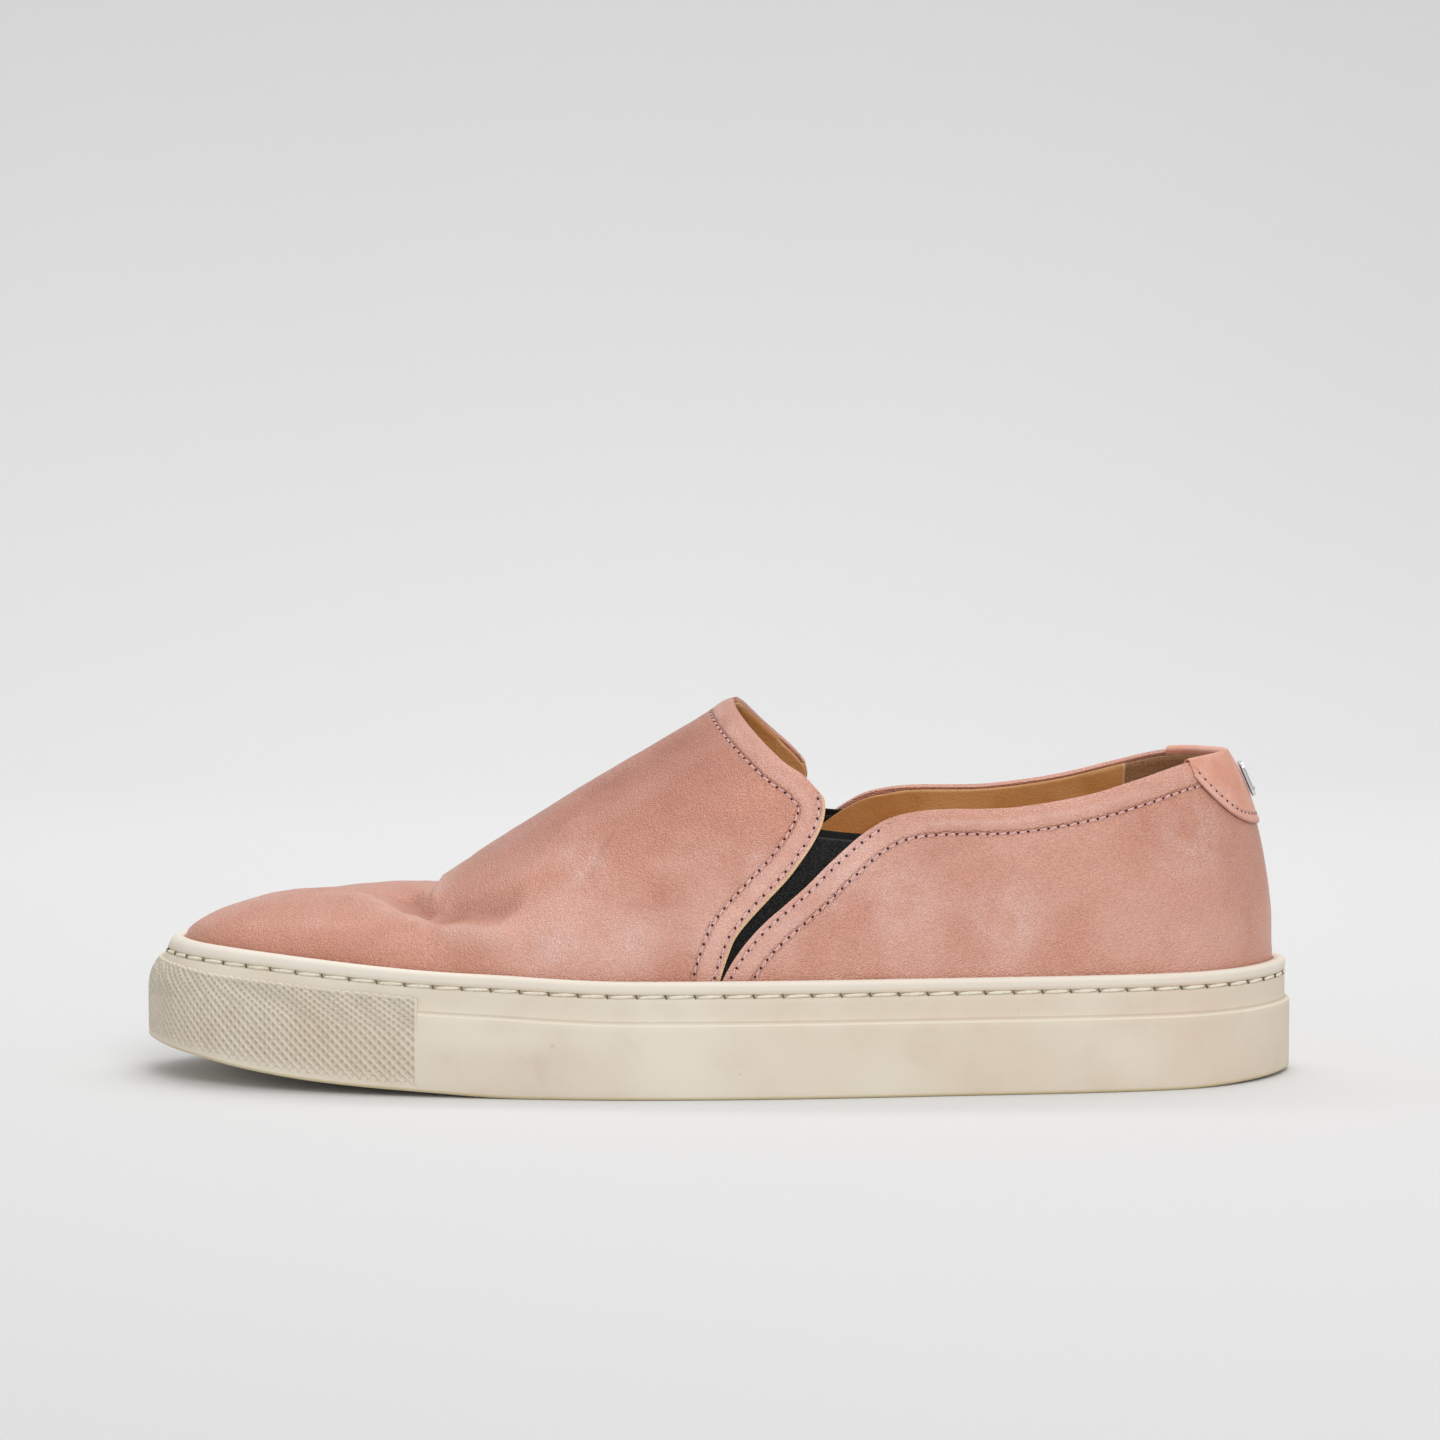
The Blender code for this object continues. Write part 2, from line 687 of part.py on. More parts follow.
def vamp_rows():
    """Points of the vamp, a row at a time, from the leather line up to the throat."""
    throat = {side: throat_edge(side) for side in (-1, 1)}
    slit = {side: slit_front(side) for side in (-1, 1)}
    edge = {side: [(x, girth_of(x, side, z)) for x, z in throat[side]] for side in (-1, 1)}
    whole = np.array(edge[-1] + edge[1][::-1][1:])
    up = {side: np.array([(x, girth_of(x, side, z)) for x, z in slit[side]]) for side in (-1, 1)}
    total = len(VAMP_FEET) - 1
    feet = [loop_at(FEATHER, place) for place in VAMP_FEET]
    toe = min(range(len(feet)), key=lambda k: feet[k][0])
    made = []
    for i in range(VAMP_ROWS + 1):
        w = (i / VAMP_ROWS) ** ROW_CROWD
        row = []
        for k, foot in enumerate(feet):
            side = -1 if k < toe else 1
            start = np.array([foot[0], girth_of(foot[0], side, leather_line(foot[0]))])
            end = place_on(whole, k / total)
            at = start + (end - start) * w
            near = 1 - smooth_step(0.0, 0.25, min(k, total - k) / total)
            curve = up[side]
            at = at + near * (place_on(curve, w) - (curve[0] + (curve[-1] - curve[0]) * w))
            on_line = np.array([foot[0], foot[1], leather_line(foot[0])])
            row.append(on_line if i == 0 else girth_point(at[0], at[1]))
        made.append(row)
    return made


def quarter_rows():
    """Points of the quarters, a row at a time, from the leather line up to the collar."""
    edge = {side: curve_of_quarter(side) for side in (-1, 1)}
    total = len(PARTED_FEET) - 1
    made = [[] for _ in range(QUARTER_ROWS + 1)]
    for k, place in enumerate(PARTED_FEET):
        foot = loop_at(FEATHER, place)
        side = 1 if k <= total / 2 else -1
        slant = 1 - smooth_step(0.0, SLANT_END, min(k, total - k) / total)
        lean = edge[side]
        for i in range(QUARTER_ROWS + 1):
            w = i / QUARTER_ROWS
            made[i].append(quarter_point(foot, side, slant, lean, w))
    return made


def curve_of_quarter(side):
    """The slit's rear edge as places along the shoe and heights, up to the collar's front."""
    shift = MEDIAL_FORWARD if side > 0 else 0.0
    places = [along(row[0]) - shift for row in QUARTER_EDGE[:SLIT_ROWS]]
    return np.array([(x, rim_height(x, side)) for x in places])


def quarter_point(foot, side, slant, lean, w):
    """A point of a quarter's column, which leans like the slit near it and stands upright further back."""
    run = lean[-1][0] - lean[0][0]
    top_x = foot[0] + run * slant
    if slant < 1e-6 or foot[0] > HEEL_PIVOT - run * slant:
        return on_rib(rib(foot, side), collar_on(rib(foot, side), side, w))
    low = leather_line(foot[0])
    high = rim_height(top_x, side)
    at = place_on(lean, w)
    height = low + (high - low) * (at[1] - lean[0][1]) / (lean[-1][1] - lean[0][1])
    x = foot[0] + (at[0] - lean[0][0]) * slant
    return side_point(x, height, side)


def collar_on(points, side, w):
    """Height at a share of the way up a rib to where it meets the collar."""
    gaps = [p[2] - rim_height(p[0], side) for p in points]
    k = next((i for i, gap in enumerate(gaps) if gap > 0), len(gaps) - 1)
    t = gaps[k - 1] / (gaps[k - 1] - gaps[k])
    top = points[k - 1][2] * (1 - t) + points[k][2] * t
    return points[0][2] + (top - points[0][2]) * w


VAMP = vamp_rows()
QUARTER = quarter_rows()


def build_upper(leather, collection):
    """Vamp and quarters as one wall, with a slit for each gore and a lasting margin turned in below."""
    mesh = bmesh.new()
    drops = (
        (NOTCH_DEPTH, 0.0),
        (CUP_DEPTH - CLEARANCE - WALL, 0.0),
        (CUP_DEPTH - CLEARANCE - WALL / 4, WALL / 3),
        (CUP_DEPTH - CLEARANCE, WALL),
        (CUP_DEPTH - CLEARANCE, MARGIN),
    )
    rings = [
        row_of(mesh, ring(lambda x, i=inset: leather_inset(x) + i, lambda x, d=drop: leather_line(x) - d))
        for drop, inset in drops
    ]
    for upper, lower in zip(rings, rings[1:]):
        bridge(mesh, lower, upper, closed=True)
    root = rings[0]
    vamp_last = len(VAMP_FEET) - 1
    vamp = [root[:vamp_last + 1]] + [row_of(mesh, row) for row in VAMP]
    quarter = [root[vamp_last:] + [root[0]]] + [row_of(mesh, row) for row in QUARTER]
    for patch in (vamp, quarter):
        for low, high in zip(patch, patch[1:]):
            bridge(mesh, low, high, closed=False)
    made = finish("upper", mesh, leather, collection)
    return thicken(made, WALL, outwards=False)


def build_sole(rubber, collection, cutters):
    """The cupsole: tread, bevelled edge, wall, step, band, stitch groove, bead, and the cup inside."""
    mesh = bmesh.new()

    def step(x):
        drop = BUMPER_DROP if station(x) > BUMPER_END else STEP_DROP
        return leather_line(x) - drop

    def lean(x, height):
        toe = smooth_step(0.72, 1.0, station(x))
        share = (height - bend(x)) / (leather_line(x) - bend(x))
        return TOE_LEAN * toe * max(0.0, share)

    def bend(x):
        return SOLE_HEIGHT * table(TOE_CURL, 3, station(x))

    def wall_top(x):
        in_bumper = station(x) > BUMPER_END
        return lean(x, step(x)) + BUMPER_FALL if in_bumper else 0.0

    def level(inset, height_of):
        return ring(lambda x: inset + lean(x, height_of(x)), height_of)

    stitch = STITCH_DROP
    band = STEP_LEDGE + BAND_LEAN
    levels = [
        ring(lambda x: EDGE_BEVEL, underside),
        ring(lambda x: 0.0, lambda x: underside(x) + EDGE_BEVEL),
        ring(lambda x: 0.0, bend),
        ring(wall_top, step),
        level(STEP_LEDGE, lambda x: step(x) + EDGE_BEVEL / 6),
        level(band, lambda x: leather_line(x) - stitch - GROOVE_HALF),
        level(band + GROOVE_DEPTH, lambda x: leather_line(x) - stitch),
        level(band, lambda x: leather_line(x) - stitch + GROOVE_HALF),
        level(band - BEAD_SWELL, lambda x: leather_line(x) - BEAD_SHOULDER),
        level(band + BEAD_SHOULDER / 2, lambda x: leather_line(x)),
        level(band + BEAD_SHOULDER * 1.4, lambda x: leather_line(x) + BEAD_CROWN),
        ring(lambda x: leather_inset(x) - CLEARANCE, leather_line),
        ring(lambda x: leather_inset(x) - CLEARANCE, lambda x: leather_line(x) - CUP_DEPTH),
    ]
    rings = [row_of(mesh, level_points) for level_points in levels]
    for low, high in zip(rings, rings[1:]):
        bridge(mesh, low, high, closed=True)
    ladder(mesh, rings[0])
    ladder(mesh, rings[-1])
    made = finish("sole", mesh, rubber, collection)
    grooves = build_tread_cutter(cutters)
    cut = made.modifiers.new("tread", "BOOLEAN")
    cut.operation = "DIFFERENCE"
    cut.object = grooves
    return made


def build_tread_cutter(cutters):
    """Cross bars that cut the flex grooves of the forefoot and heel."""
    mesh = bmesh.new()
    for first, last in ((0.60, 0.90), (0.08, 0.22)):
        bars = int((last - first) * LENGTH / TREAD_PITCH)
        for k in range(bars + 1):
            x = along(first) - k * TREAD_PITCH
            inner = [half_breadth(x, side) for side in (-1, 1)]
            reach = TREAD_RIM - SIDE_INSET
            low, high = inner[0] + reach, inner[1] - reach
            made = bmesh.ops.create_cube(mesh, size=1.0)["verts"]
            height = 2 * TREAD_GROOVE
            bmesh.ops.scale(mesh, vec=(TREAD_GROOVE_WIDTH, high - low, height), verts=made)
            bmesh.ops.translate(mesh, vec=(x, (low + high) / 2, underside(x)), verts=made)
    data = bpy.data.meshes.new("tread_grooves")
    mesh.to_mesh(data)
    mesh.free()
    made = bpy.data.objects.new("tread_grooves", data)
    made.hide_render = True
    made.display_type = "WIRE"
    cutters.objects.link(made)
    return made


def build_insole(lining, collection):
    """The footbed, inside the upper and on its lasting margin."""
    mesh = bmesh.new()
    bottom = CUP_DEPTH - 2 * CLEARANCE - WALL
    top = bottom - INSOLE_THICKNESS
    edge = WALL + INSOLE_EDGE_GAP
    bevel = INSOLE_THICKNESS / 8
    levels = (
        (edge + 2 * bevel, bottom),
        (edge + bevel, (bottom + top) / 2),
        (edge, top + bevel),
        (edge + bevel, top),
    )
    rings = [
        row_of(mesh, ring(lambda x, i=inset: leather_inset(x) + i, lambda x, d=drop: leather_line(x) - d))
        for inset, drop in levels
    ]
    for low, high in zip(rings, rings[1:]):
        bridge(mesh, low, high, closed=True)
    ladder(mesh, rings[0])
    ladder(mesh, rings[-1])
    return finish("insole", mesh, lining, collection)


def normal_at(x, height, side):
    """Outward direction of the last's surface on one side."""
    step = 0.0015
    forward = side_point(x - step, height, side) - side_point(x + step, height, side)
    upward = side_point(x, height + step, side) - side_point(x, height - step, side)
    across = np.cross(forward, upward)
    across /= np.linalg.norm(across)
    return across if across[1] * side > 0 else -across


def build_gore(name, side, elastic, collection):
    """The elastic behind one slit, from the sole's edge up to its hem."""
    mesh = bmesh.new()
    front = slit_front(side)
    rear = curve_of_quarter(side)
    low = SOLE_HEIGHT - NOTCH_DEPTH / 2
    high = SOLE_HEIGHT + GORE_TOP_SHARE * COLLAR_RISE
    rows, steps = 8, 5
    made = []
    for i in range(rows + 1):
        height = low + (high - low) * i / rows
        start = np.interp(height, front[:, 1], front[:, 0]) - GORE_LAP
        end = np.interp(height, rear[:, 1], rear[:, 0]) + GORE_LAP
        row = []
        for k in range(steps + 1):
            x = start + (end - start) * k / steps
            at_height = max(height, leather_line(x) + 1e-5)
            point = side_point(x, at_height, side)
            inward = -normal_at(x, max(at_height, SOLE_HEIGHT + 0.003), side)
            point = point + inward * (WALL + CLEARANCE * 1.5)
            point[2] -= at_height - height
            row.append(point)
        made.append(row_of(mesh, row))
    for below, above in zip(made, made[1:]):
        bridge(mesh, below, above, closed=False)
    face = next(iter(mesh.faces))
    mesh.normal_update()
    inwards = face.normal.y * side < 0
    if not inwards:
        bmesh.ops.reverse_faces(mesh, faces=mesh.faces)
    data = bpy.data.meshes.new(name)
    mesh.to_mesh(data)
    mesh.free()
    data.shade_smooth()
    data.materials.append(elastic)
    patch = bpy.data.objects.new(name, data)
    collection.objects.link(patch)
    return thicken(patch, GORE_THICKNESS, outwards=True)


def collar_rib(place):
    """A rib at a place of the heel with its side, its rim height and the collar's run at it."""
    foot = loop_at(FEATHER, place)
    side = -1 if (place - HEEL_BACK) % len(FEATHER) < len(FEATHER) / 2 else 1
    points = rib(foot, side)
    return points, side, collar_on(points, side, 1.0)


def build_heel_tab(leather, collection):
    """The leather tab folded over the back of the collar, ending in a rounded point on the back seam."""
    back, _, back_height = collar_rib(HEEL_BACK)
    back_x = on_rib(back, back_height)[0]
    front = back_x - TAB_REACH
    ends = [heel_place(front, side) for side in (1, -1)]
    steps = 18
    mesh = bmesh.new()
    made = []
    for k in range(steps + 1):
        share = k / steps
        place = ends[0] + (ends[1] - ends[0]) * share
        points, _side, height = collar_rib(place)
        outward = rib_normal(points, height)
        away = abs(2 * share - 1)
        drop = TAB_DROP + (TAB_SIDE_DROP - TAB_DROP) * away ** TAB_ROUNDNESS
        made.append(tab_column(points, height, outward, drop))
    rows = [row_of(mesh, [column[i] for column in made]) for i in range(len(made[0]))]
    for below, above in zip(rows, rows[1:]):
        bridge(mesh, below, above, closed=False)
    mesh.normal_update()
    lowest = min(mesh.faces, key=lambda f: f.calc_center_median().z)
    if lowest.normal.x < 0:
        bmesh.ops.reverse_faces(mesh, faces=mesh.faces)
    data = bpy.data.meshes.new("heel_tab")
    mesh.to_mesh(data)
    mesh.free()
    data.shade_smooth()
    data.materials.append(leather)
    tab = bpy.data.objects.new("heel_tab", data)
    collection.objects.link(tab)
    return thicken(tab, TAB_THICKNESS, outwards=True)


def heel_place(x, side):
    """The place on the leather line whose rib meets the collar at x."""
    low, high = 0.0, len(FEATHER) / 3
    for _ in range(40):
        middle = (low + high) / 2
        place = HEEL_BACK + middle if side < 0 else HEEL_BACK - middle
        points, _side, height = collar_rib(place)
        if on_rib(points, height)[0] > x:
            low = middle
        else:
            high = middle
    return HEEL_BACK + low if side < 0 else HEEL_BACK - low


def rib_normal(points, height):
    """Outward direction of a rib at a height, in the rib's own upright plane."""
    step = 0.001
    run = on_rib(points, height) - on_rib(points, height - step)
    inward = points[-1] - points[0]
    inward[2] = 0
    inward /= np.linalg.norm(inward)
    along_rib = np.array([run.dot(inward), run[2]])
    along_rib /= np.linalg.norm(along_rib)
    outward = -inward * along_rib[1]
    outward[2] = along_rib[0]
    return outward


def tab_column(points, height, outward, drop):
    """One column of the tab, from its turned-in edge over the rim and down the outside."""
    top = on_rib(points, height)
    upward = np.cross(outward, np.cross((0, 0, 1), outward))
    upward /= np.linalg.norm(upward)
    inside = -(WALL + TAB_RIM_GAP)
    made = []
    for depth in (TAB_FLAP, TAB_FLAP / 2, TAB_FLAP / 4):
        skin = on_rib(points, height - depth)
        made.append(skin + rib_normal(points, height - depth) * inside)
    made.append(top + outward * inside + upward * TAB_RIM_GAP * 0.5)
    made.append(top + outward * (inside + TAB_RIM_GAP) / 2 + upward * TAB_RIM_GAP * 1.5)
    made.append(top + outward * TAB_RIM_GAP + upward * TAB_RIM_GAP * 0.5)
    for share in (0.12, 0.3, 0.5, 0.75, 1.0):
        depth = drop * share
        skin = on_rib(points, height - depth)
        made.append(skin + rib_normal(points, height - depth) * TAB_RIM_GAP)
    return made


def build_plate(steel, collection):
    """A small plain plate on the tab, over the back seam."""
    points, _side, height = collar_rib(HEEL_BACK)
    at = height - PLATE_DROP
    outward = rib_normal(points, at)
    away = TAB_RIM_GAP + TAB_THICKNESS + CLEARANCE + PLATE_THICKNESS / 2
    centre = on_rib(points, at) + outward * away
    mesh = bmesh.new()
    verts = bmesh.ops.create_cube(mesh, size=1.0)["verts"]
    bmesh.ops.scale(mesh, vec=(PLATE_THICKNESS, PLATE_WIDTH, PLATE_HEIGHT), verts=verts)
    uprights = [e for e in mesh.edges if abs(e.verts[0].co.x - e.verts[1].co.x) > PLATE_THICKNESS / 2]
    bmesh.ops.bevel(
        mesh, geom=uprights, offset=PLATE_WIDTH / 4, segments=4, profile=0.5, affect="EDGES", material=-1
    )
    made = finish("heel_plate", mesh, steel, collection)
    made.location = centre
    made.rotation_mode = "QUATERNION"
    made.rotation_quaternion = Vector((1, 0, 0)).rotation_difference(Vector(outward))
    return made


def main():
    for old in list(bpy.data.objects):
        bpy.data.objects.remove(old)
    shoe = bpy.data.collections.new("slip_on_sneaker")
    cutters = bpy.data.collections.new("cutters")
    for collection in (shoe, cutters):
        bpy.context.scene.collection.children.link(collection)
    leather = surface("rose_leather", (0.62, 0.34, 0.27), 0.5)
    lining = surface("tan_lining", (0.56, 0.29, 0.10), 0.55)
    rubber = surface("cream_rubber", (0.72, 0.67, 0.55), 0.6)
    elastic = surface("black_elastic", (0.01, 0.01, 0.012), 0.8)
    steel = surface("polished_steel", (0.75, 0.75, 0.76), 0.25, metallic=1.0)
    build_sole(rubber, shoe, cutters)
    build_upper(leather, shoe)
    build_insole(lining, shoe)
    build_gore("gore_lateral", -1, elastic, shoe)
    build_gore("gore_medial", 1, elastic, shoe)
    build_heel_tab(leather, shoe)
    build_plate(steel, shoe)


main()
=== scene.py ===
import math

import bmesh
import bpy
import numpy as np
from mathutils import Matrix, Vector, kdtree, noise
from mathutils.bvhtree import BVHTree


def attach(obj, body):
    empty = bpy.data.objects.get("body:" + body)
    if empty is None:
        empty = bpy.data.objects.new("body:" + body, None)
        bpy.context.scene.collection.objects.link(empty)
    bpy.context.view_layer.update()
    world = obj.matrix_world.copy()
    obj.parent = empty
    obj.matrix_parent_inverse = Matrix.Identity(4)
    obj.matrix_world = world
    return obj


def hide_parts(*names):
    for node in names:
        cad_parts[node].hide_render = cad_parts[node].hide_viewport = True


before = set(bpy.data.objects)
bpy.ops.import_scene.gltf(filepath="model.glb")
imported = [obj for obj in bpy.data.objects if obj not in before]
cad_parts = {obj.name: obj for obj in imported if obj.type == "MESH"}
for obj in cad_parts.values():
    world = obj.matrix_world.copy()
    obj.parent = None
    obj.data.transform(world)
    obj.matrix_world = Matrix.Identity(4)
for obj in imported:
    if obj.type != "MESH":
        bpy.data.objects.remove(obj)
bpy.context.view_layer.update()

# Camera
# The photograph looks at the shoe's outer side from a little over a metre, barely above it and slightly from
# the toe. The lens is a long one, so the shoe fills four fifths of the picture's width.

CAMERA_AWAY = 1.15
CAMERA_HEIGHT = 0.171
CAMERA_TURN = math.radians(-1.5)
CAMERA_TILT = math.radians(4.0)
CAMERA_LENS = 112.05
SENSOR_WIDTH = 36

camera_data = bpy.data.cameras.new("camera")
camera_data.sensor_width = SENSOR_WIDTH
camera_data.lens = CAMERA_LENS
camera = bpy.data.objects.new("camera", camera_data)
camera.location = (math.sin(CAMERA_TURN) * CAMERA_AWAY, -math.cos(CAMERA_TURN) * CAMERA_AWAY, CAMERA_HEIGHT)
camera.rotation_euler = (math.pi / 2 - CAMERA_TILT, 0, CAMERA_TURN)
bpy.context.scene.collection.objects.link(camera)
bpy.context.scene.camera = camera
bpy.context.scene.view_settings.view_transform = "Standard"

# Floor and light
# A sheet of matt paper runs from under the shoe up into a backdrop. One large soft light hangs over the shoe,
# a second stands in front of it, a third brightens the backdrop, and a pale surround fills the shadows.

PAPER_COLOUR = (0.71, 0.71, 0.71)
SWEEP_START = 0.9
SWEEP_RADIUS = 0.7
SWEEP_TOP = 2.6
PAPER_HALF_WIDTH = 3.0
PAPER_FRONT = -2.5
WORLD_STRENGTH = 0.54


class Value:
    """A socket of a finish's node tree, so that shader maths reads as plain sums."""

    def __init__(self, tree, socket):
        self.tree = tree
        self.socket = socket

    def node(self, kind, settings, inputs, output=0):
        """Any node: its settings first, then the values or links of its sockets."""
        made = self.tree.nodes.new(kind)
        for name, value in settings.items():
            if name == "stops":
                ramp = made.color_ramp
                while len(ramp.elements) < len(value):
                    ramp.elements.new(1.0)
                for element, (place, colour) in zip(ramp.elements, value):
                    element.position = place
                    element.color = (*colour, 1)
            else:
                setattr(made, name, value)
        for name, value in inputs.items():
            if isinstance(value, Value):
                self.tree.links.new(value.socket, made.inputs[name])
            else:
                made.inputs[name].default_value = value
        return Value(self.tree, made.outputs[output])

    def maths(self, operation, *values):
        return self.node("ShaderNodeMath", {"operation": operation}, dict(enumerate(values)))

    def __add__(self, other):
        return self.maths("ADD", self, other)

    def __sub__(self, other):
        return self.maths("SUBTRACT", self, other)

    def __rsub__(self, other):
        return self.maths("SUBTRACT", other, self)

    def __mul__(self, other):
        return self.maths("MULTIPLY", self, other)

    __radd__ = __add__
    __rmul__ = __mul__

    def ramp(self, low, high):
        """0 below low, 1 above high and smooth between, for either order of the two."""
        settings = {"interpolation_type": "SMOOTHSTEP"}
        inputs = {0: self, 1: min(low, high), 2: max(low, high)}
        inputs[3], inputs[4] = (0.0, 1.0) if low < high else (1.0, 0.0)
        return self.node("ShaderNodeMapRange", settings, inputs)

    def ridge(self, middle, half):
        """1 where this is the middle value, falling to 0 at half a width to each side."""
        away = self - middle
        return away.maths("ABSOLUTE", away).ramp(half, 0.0)

    def wave(self, length):
        """Swings between -1 and 1, once for each length."""
        turned = self * (2 * math.pi / length)
        return turned.maths("SINE", turned)

    def noise(self, scale, detail=2.0, roughness=0.5, stretch=None):
        place = self.stretched(stretch) if stretch else self
        inputs = {"Vector": place, "Scale": scale, "Detail": detail, "Roughness": roughness}
        return self.node("ShaderNodeTexNoise", {}, inputs)

    def cells(self, scale):
        """Distance from the nearest of many scattered points."""
        return self.node("ShaderNodeTexVoronoi", {}, {"Vector": self, "Scale": scale})

    def stretched(self, factors):
        return self.node("ShaderNodeVectorMath", {"operation": "MULTIPLY"}, {0: self, 1: factors})

    def part(self, axis):
        return self.node("ShaderNodeSeparateXYZ", {}, {0: self}, output=axis)

    def measured(self, name):
        """A number that the mesh carries at each of its points."""
        return self.node("ShaderNodeAttribute", {"attribute_name": name}, {}, output=2)

    def tint(self, first, second):
        """From one colour to another as this goes from 0 to 1."""
        colours = [value if isinstance(value, Value) else (*value, 1) for value in (first, second)]
        settings = {"data_type": "RGBA"}
        return self.node("ShaderNodeMix", settings, {0: self, 6: colours[0], 7: colours[1]}, output=2)

    def bump(self, distance, strength=1.0, over=None):
        inputs = {"Height": self, "Distance": distance, "Strength": strength}
        if over is not None:
            inputs["Normal"] = over
        return self.node("ShaderNodeBump", {}, inputs)


def finish_named(name):
    """A new material, its object coordinates and its shader."""
    material = bpy.data.materials.new(name)
    material.use_nodes = True
    tree = material.node_tree
    shader = tree.nodes["Principled BSDF"]
    coordinates = tree.nodes.new("ShaderNodeTexCoord")
    return material, Value(tree, coordinates.outputs["Object"]), shader


def set_finish(shader, links, **numbers):
    """Links what changes over the surface, and sets what doesn't on the shader's own sockets."""
    for name, value in links.items():
        value.tree.links.new(value.socket, shader.inputs[name])
    for name, value in numbers.items():
        shader.inputs[name.replace("_", " ")].default_value = value


def srgb(red, green, blue):
    """Linear light of a colour that is given as on a screen, 0 to 255."""
    return tuple(((c / 255 + 0.055) / 1.055) ** 2.4 if c > 10 else c / 3295 for c in (red, green, blue))


def piece_of(name, mesh, *materials):
    """A smoothly shaded object of a bmesh."""
    data = bpy.data.meshes.new(name)
    mesh.to_mesh(data)
    mesh.free()
    data.shade_smooth()
    for material in materials:
        data.materials.append(material)
    made = bpy.data.objects.new(name, data)
    bpy.context.scene.collection.objects.link(made)
    return made


def laid_grid(points, values=None, closed=False):
    """A grid whose vertices lie on a table of points, rows by columns, with numbers kept at each vertex."""
    rows, columns = points.shape[:2]
    mesh = bmesh.new()
    bmesh.ops.create_grid(mesh, x_segments=columns - 1, y_segments=rows - 1, size=0.5)
    layers = [(mesh.verts.layers.float.new(name), data) for name, data in (values or {}).items()]
    for vert in mesh.verts:
        column = round((vert.co.x + 0.5) * (columns - 1))
        row = round((vert.co.y + 0.5) * (rows - 1))
        vert.co = points[row, column]
        for layer, data in layers:
            vert[layer] = data[row, column]
    if closed:
        bmesh.ops.remove_doubles(mesh, verts=mesh.verts, dist=1e-6)
    return mesh


sweep_line = [(PAPER_FRONT, 0.0)]
for turn in np.linspace(0, math.pi / 2, 24):
    sweep_line.append((SWEEP_START + SWEEP_RADIUS * math.sin(turn), SWEEP_RADIUS * (1 - math.cos(turn))))
sweep_line.append((SWEEP_START + SWEEP_RADIUS, SWEEP_TOP))
sweep_points = np.array([[(side * PAPER_HALF_WIDTH, y, z) for side in (-1, 1)] for y, z in sweep_line])
paper, paper_place, paper_shader = finish_named("backdrop_paper")
paper_tone = paper_place.noise(2.0, 1.0).ramp(0.3, 0.7)
set_finish(
    paper_shader,
    {"Base Color": paper_tone.tint(PAPER_COLOUR, tuple(c * 1.01 for c in PAPER_COLOUR))},
    Roughness=0.95,
    Specular_IOR_Level=0.1,
)
floor = piece_of("floor", laid_grid(sweep_points), paper)


def soft_light(name, place, aim, size, energy, spread):
    data = bpy.data.lights.new(name, "AREA")
    data.shape = "RECTANGLE"
    data.size, data.size_y = size
    data.energy = energy
    data.spread = math.radians(spread)
    made = bpy.data.objects.new(name, data)
    made.location = place
    made.rotation_mode = "QUATERNION"
    made.rotation_quaternion = (Vector(aim) - Vector(place)).to_track_quat("-Z", "Y")
    bpy.context.scene.collection.objects.link(made)


soft_light("overhead_light", (0.15, 0.1, 1.5), aim=(0.0, 0.0, 0.0), size=(1.0, 0.8), energy=2.0, spread=100)
soft_light("front_light", (0.3, -1.5, 1.15), aim=(0.0, 0.06, 0.04), size=(1.0, 0.7), energy=2.6, spread=76)
soft_light("backdrop_light", (0.0, 0.8, 1.5), aim=(0.0, 0.95, 0.0), size=(2.4, 0.4), energy=7.2, spread=125)

studio = bpy.data.worlds.new("studio")
studio.use_nodes = True
studio.node_tree.nodes["Background"].inputs["Color"].default_value = (1, 1, 1, 1)
studio.node_tree.nodes["Background"].inputs["Strength"].default_value = WORLD_STRENGTH
bpy.context.scene.world = studio

# Sole
# A cupsole moulded from cream rubber and sewn to the upper. From the floor up its side has a wall, a narrow
# step, a band, the sunken line of the stitches, and a rounded bead that the leather disappears behind.

LENGTH = 0.295
BALL_WIDTH = 0.105
HEEL_WIDTH = 0.079
SOLE_HEIGHT = 0.029
TOE_RISE = 0.006
TOE_SPRING = 0.0095
HEEL_LIFT = 0.0008
CUP_DEPTH = 0.012
SIDE_INSET = 0.0050
HEEL_INSET = 0.0046
TOE_INSET = 0.0096
CLEARANCE = 0.0003
STITCH_DROP = 0.0034
STEP_DROP = 0.0102
STEP_LEDGE = 0.0009
BAND_LEAN = 0.0004
TOE_LEAN = 0.0052
BUMPER_DROP = 0.0065
BUMPER_TIP_DROP = 0.0052
BUMPER_END = 0.759
BUMPER_RECESS = 0.0009
BUMPER_LIP = 0.0012
BUMPER_LIP_FOOT = 0.0014
TIP_ROUNDING = 1.8
EDGE_ROUND = 0.0009
STEP_ROUND = 0.00025
GROOVE_DEPTH = 0.0007
GROOVE_HALF = 0.00085
BEAD_RADIUS = 0.0013
BEAD_FOOT = 0.0076
BEAD_CENTRE = 0.0010
BEAD_OVERHANG = 0.0002
LEDGE_NONE = 0.005
CREAM = srgb(230, 222, 205)
CREAM_SHADE = srgb(222, 209, 190)
CREAM_DIRT = srgb(205, 184, 165)
CREAM_YELLOW = srgb(204, 186, 128)
# Darkens the sunken diamonds: painted shade, with some dirt.
NET_SHADE = srgb(150, 128, 98)
HEEL_DIRT = srgb(216, 190, 172)
SPECK = srgb(150, 130, 105)
# Painted light at the step: a painted shade line in the corner at the foot of the band, and a painted
# highlight on the wall's rounded top edge.
LEDGE_SHADE = srgb(170, 152, 128)
LEDGE_HIGHLIGHT = srgb(240, 234, 218)
# Painted light on the bead.
BEAD_HIGHLIGHT = srgb(240, 233, 221)
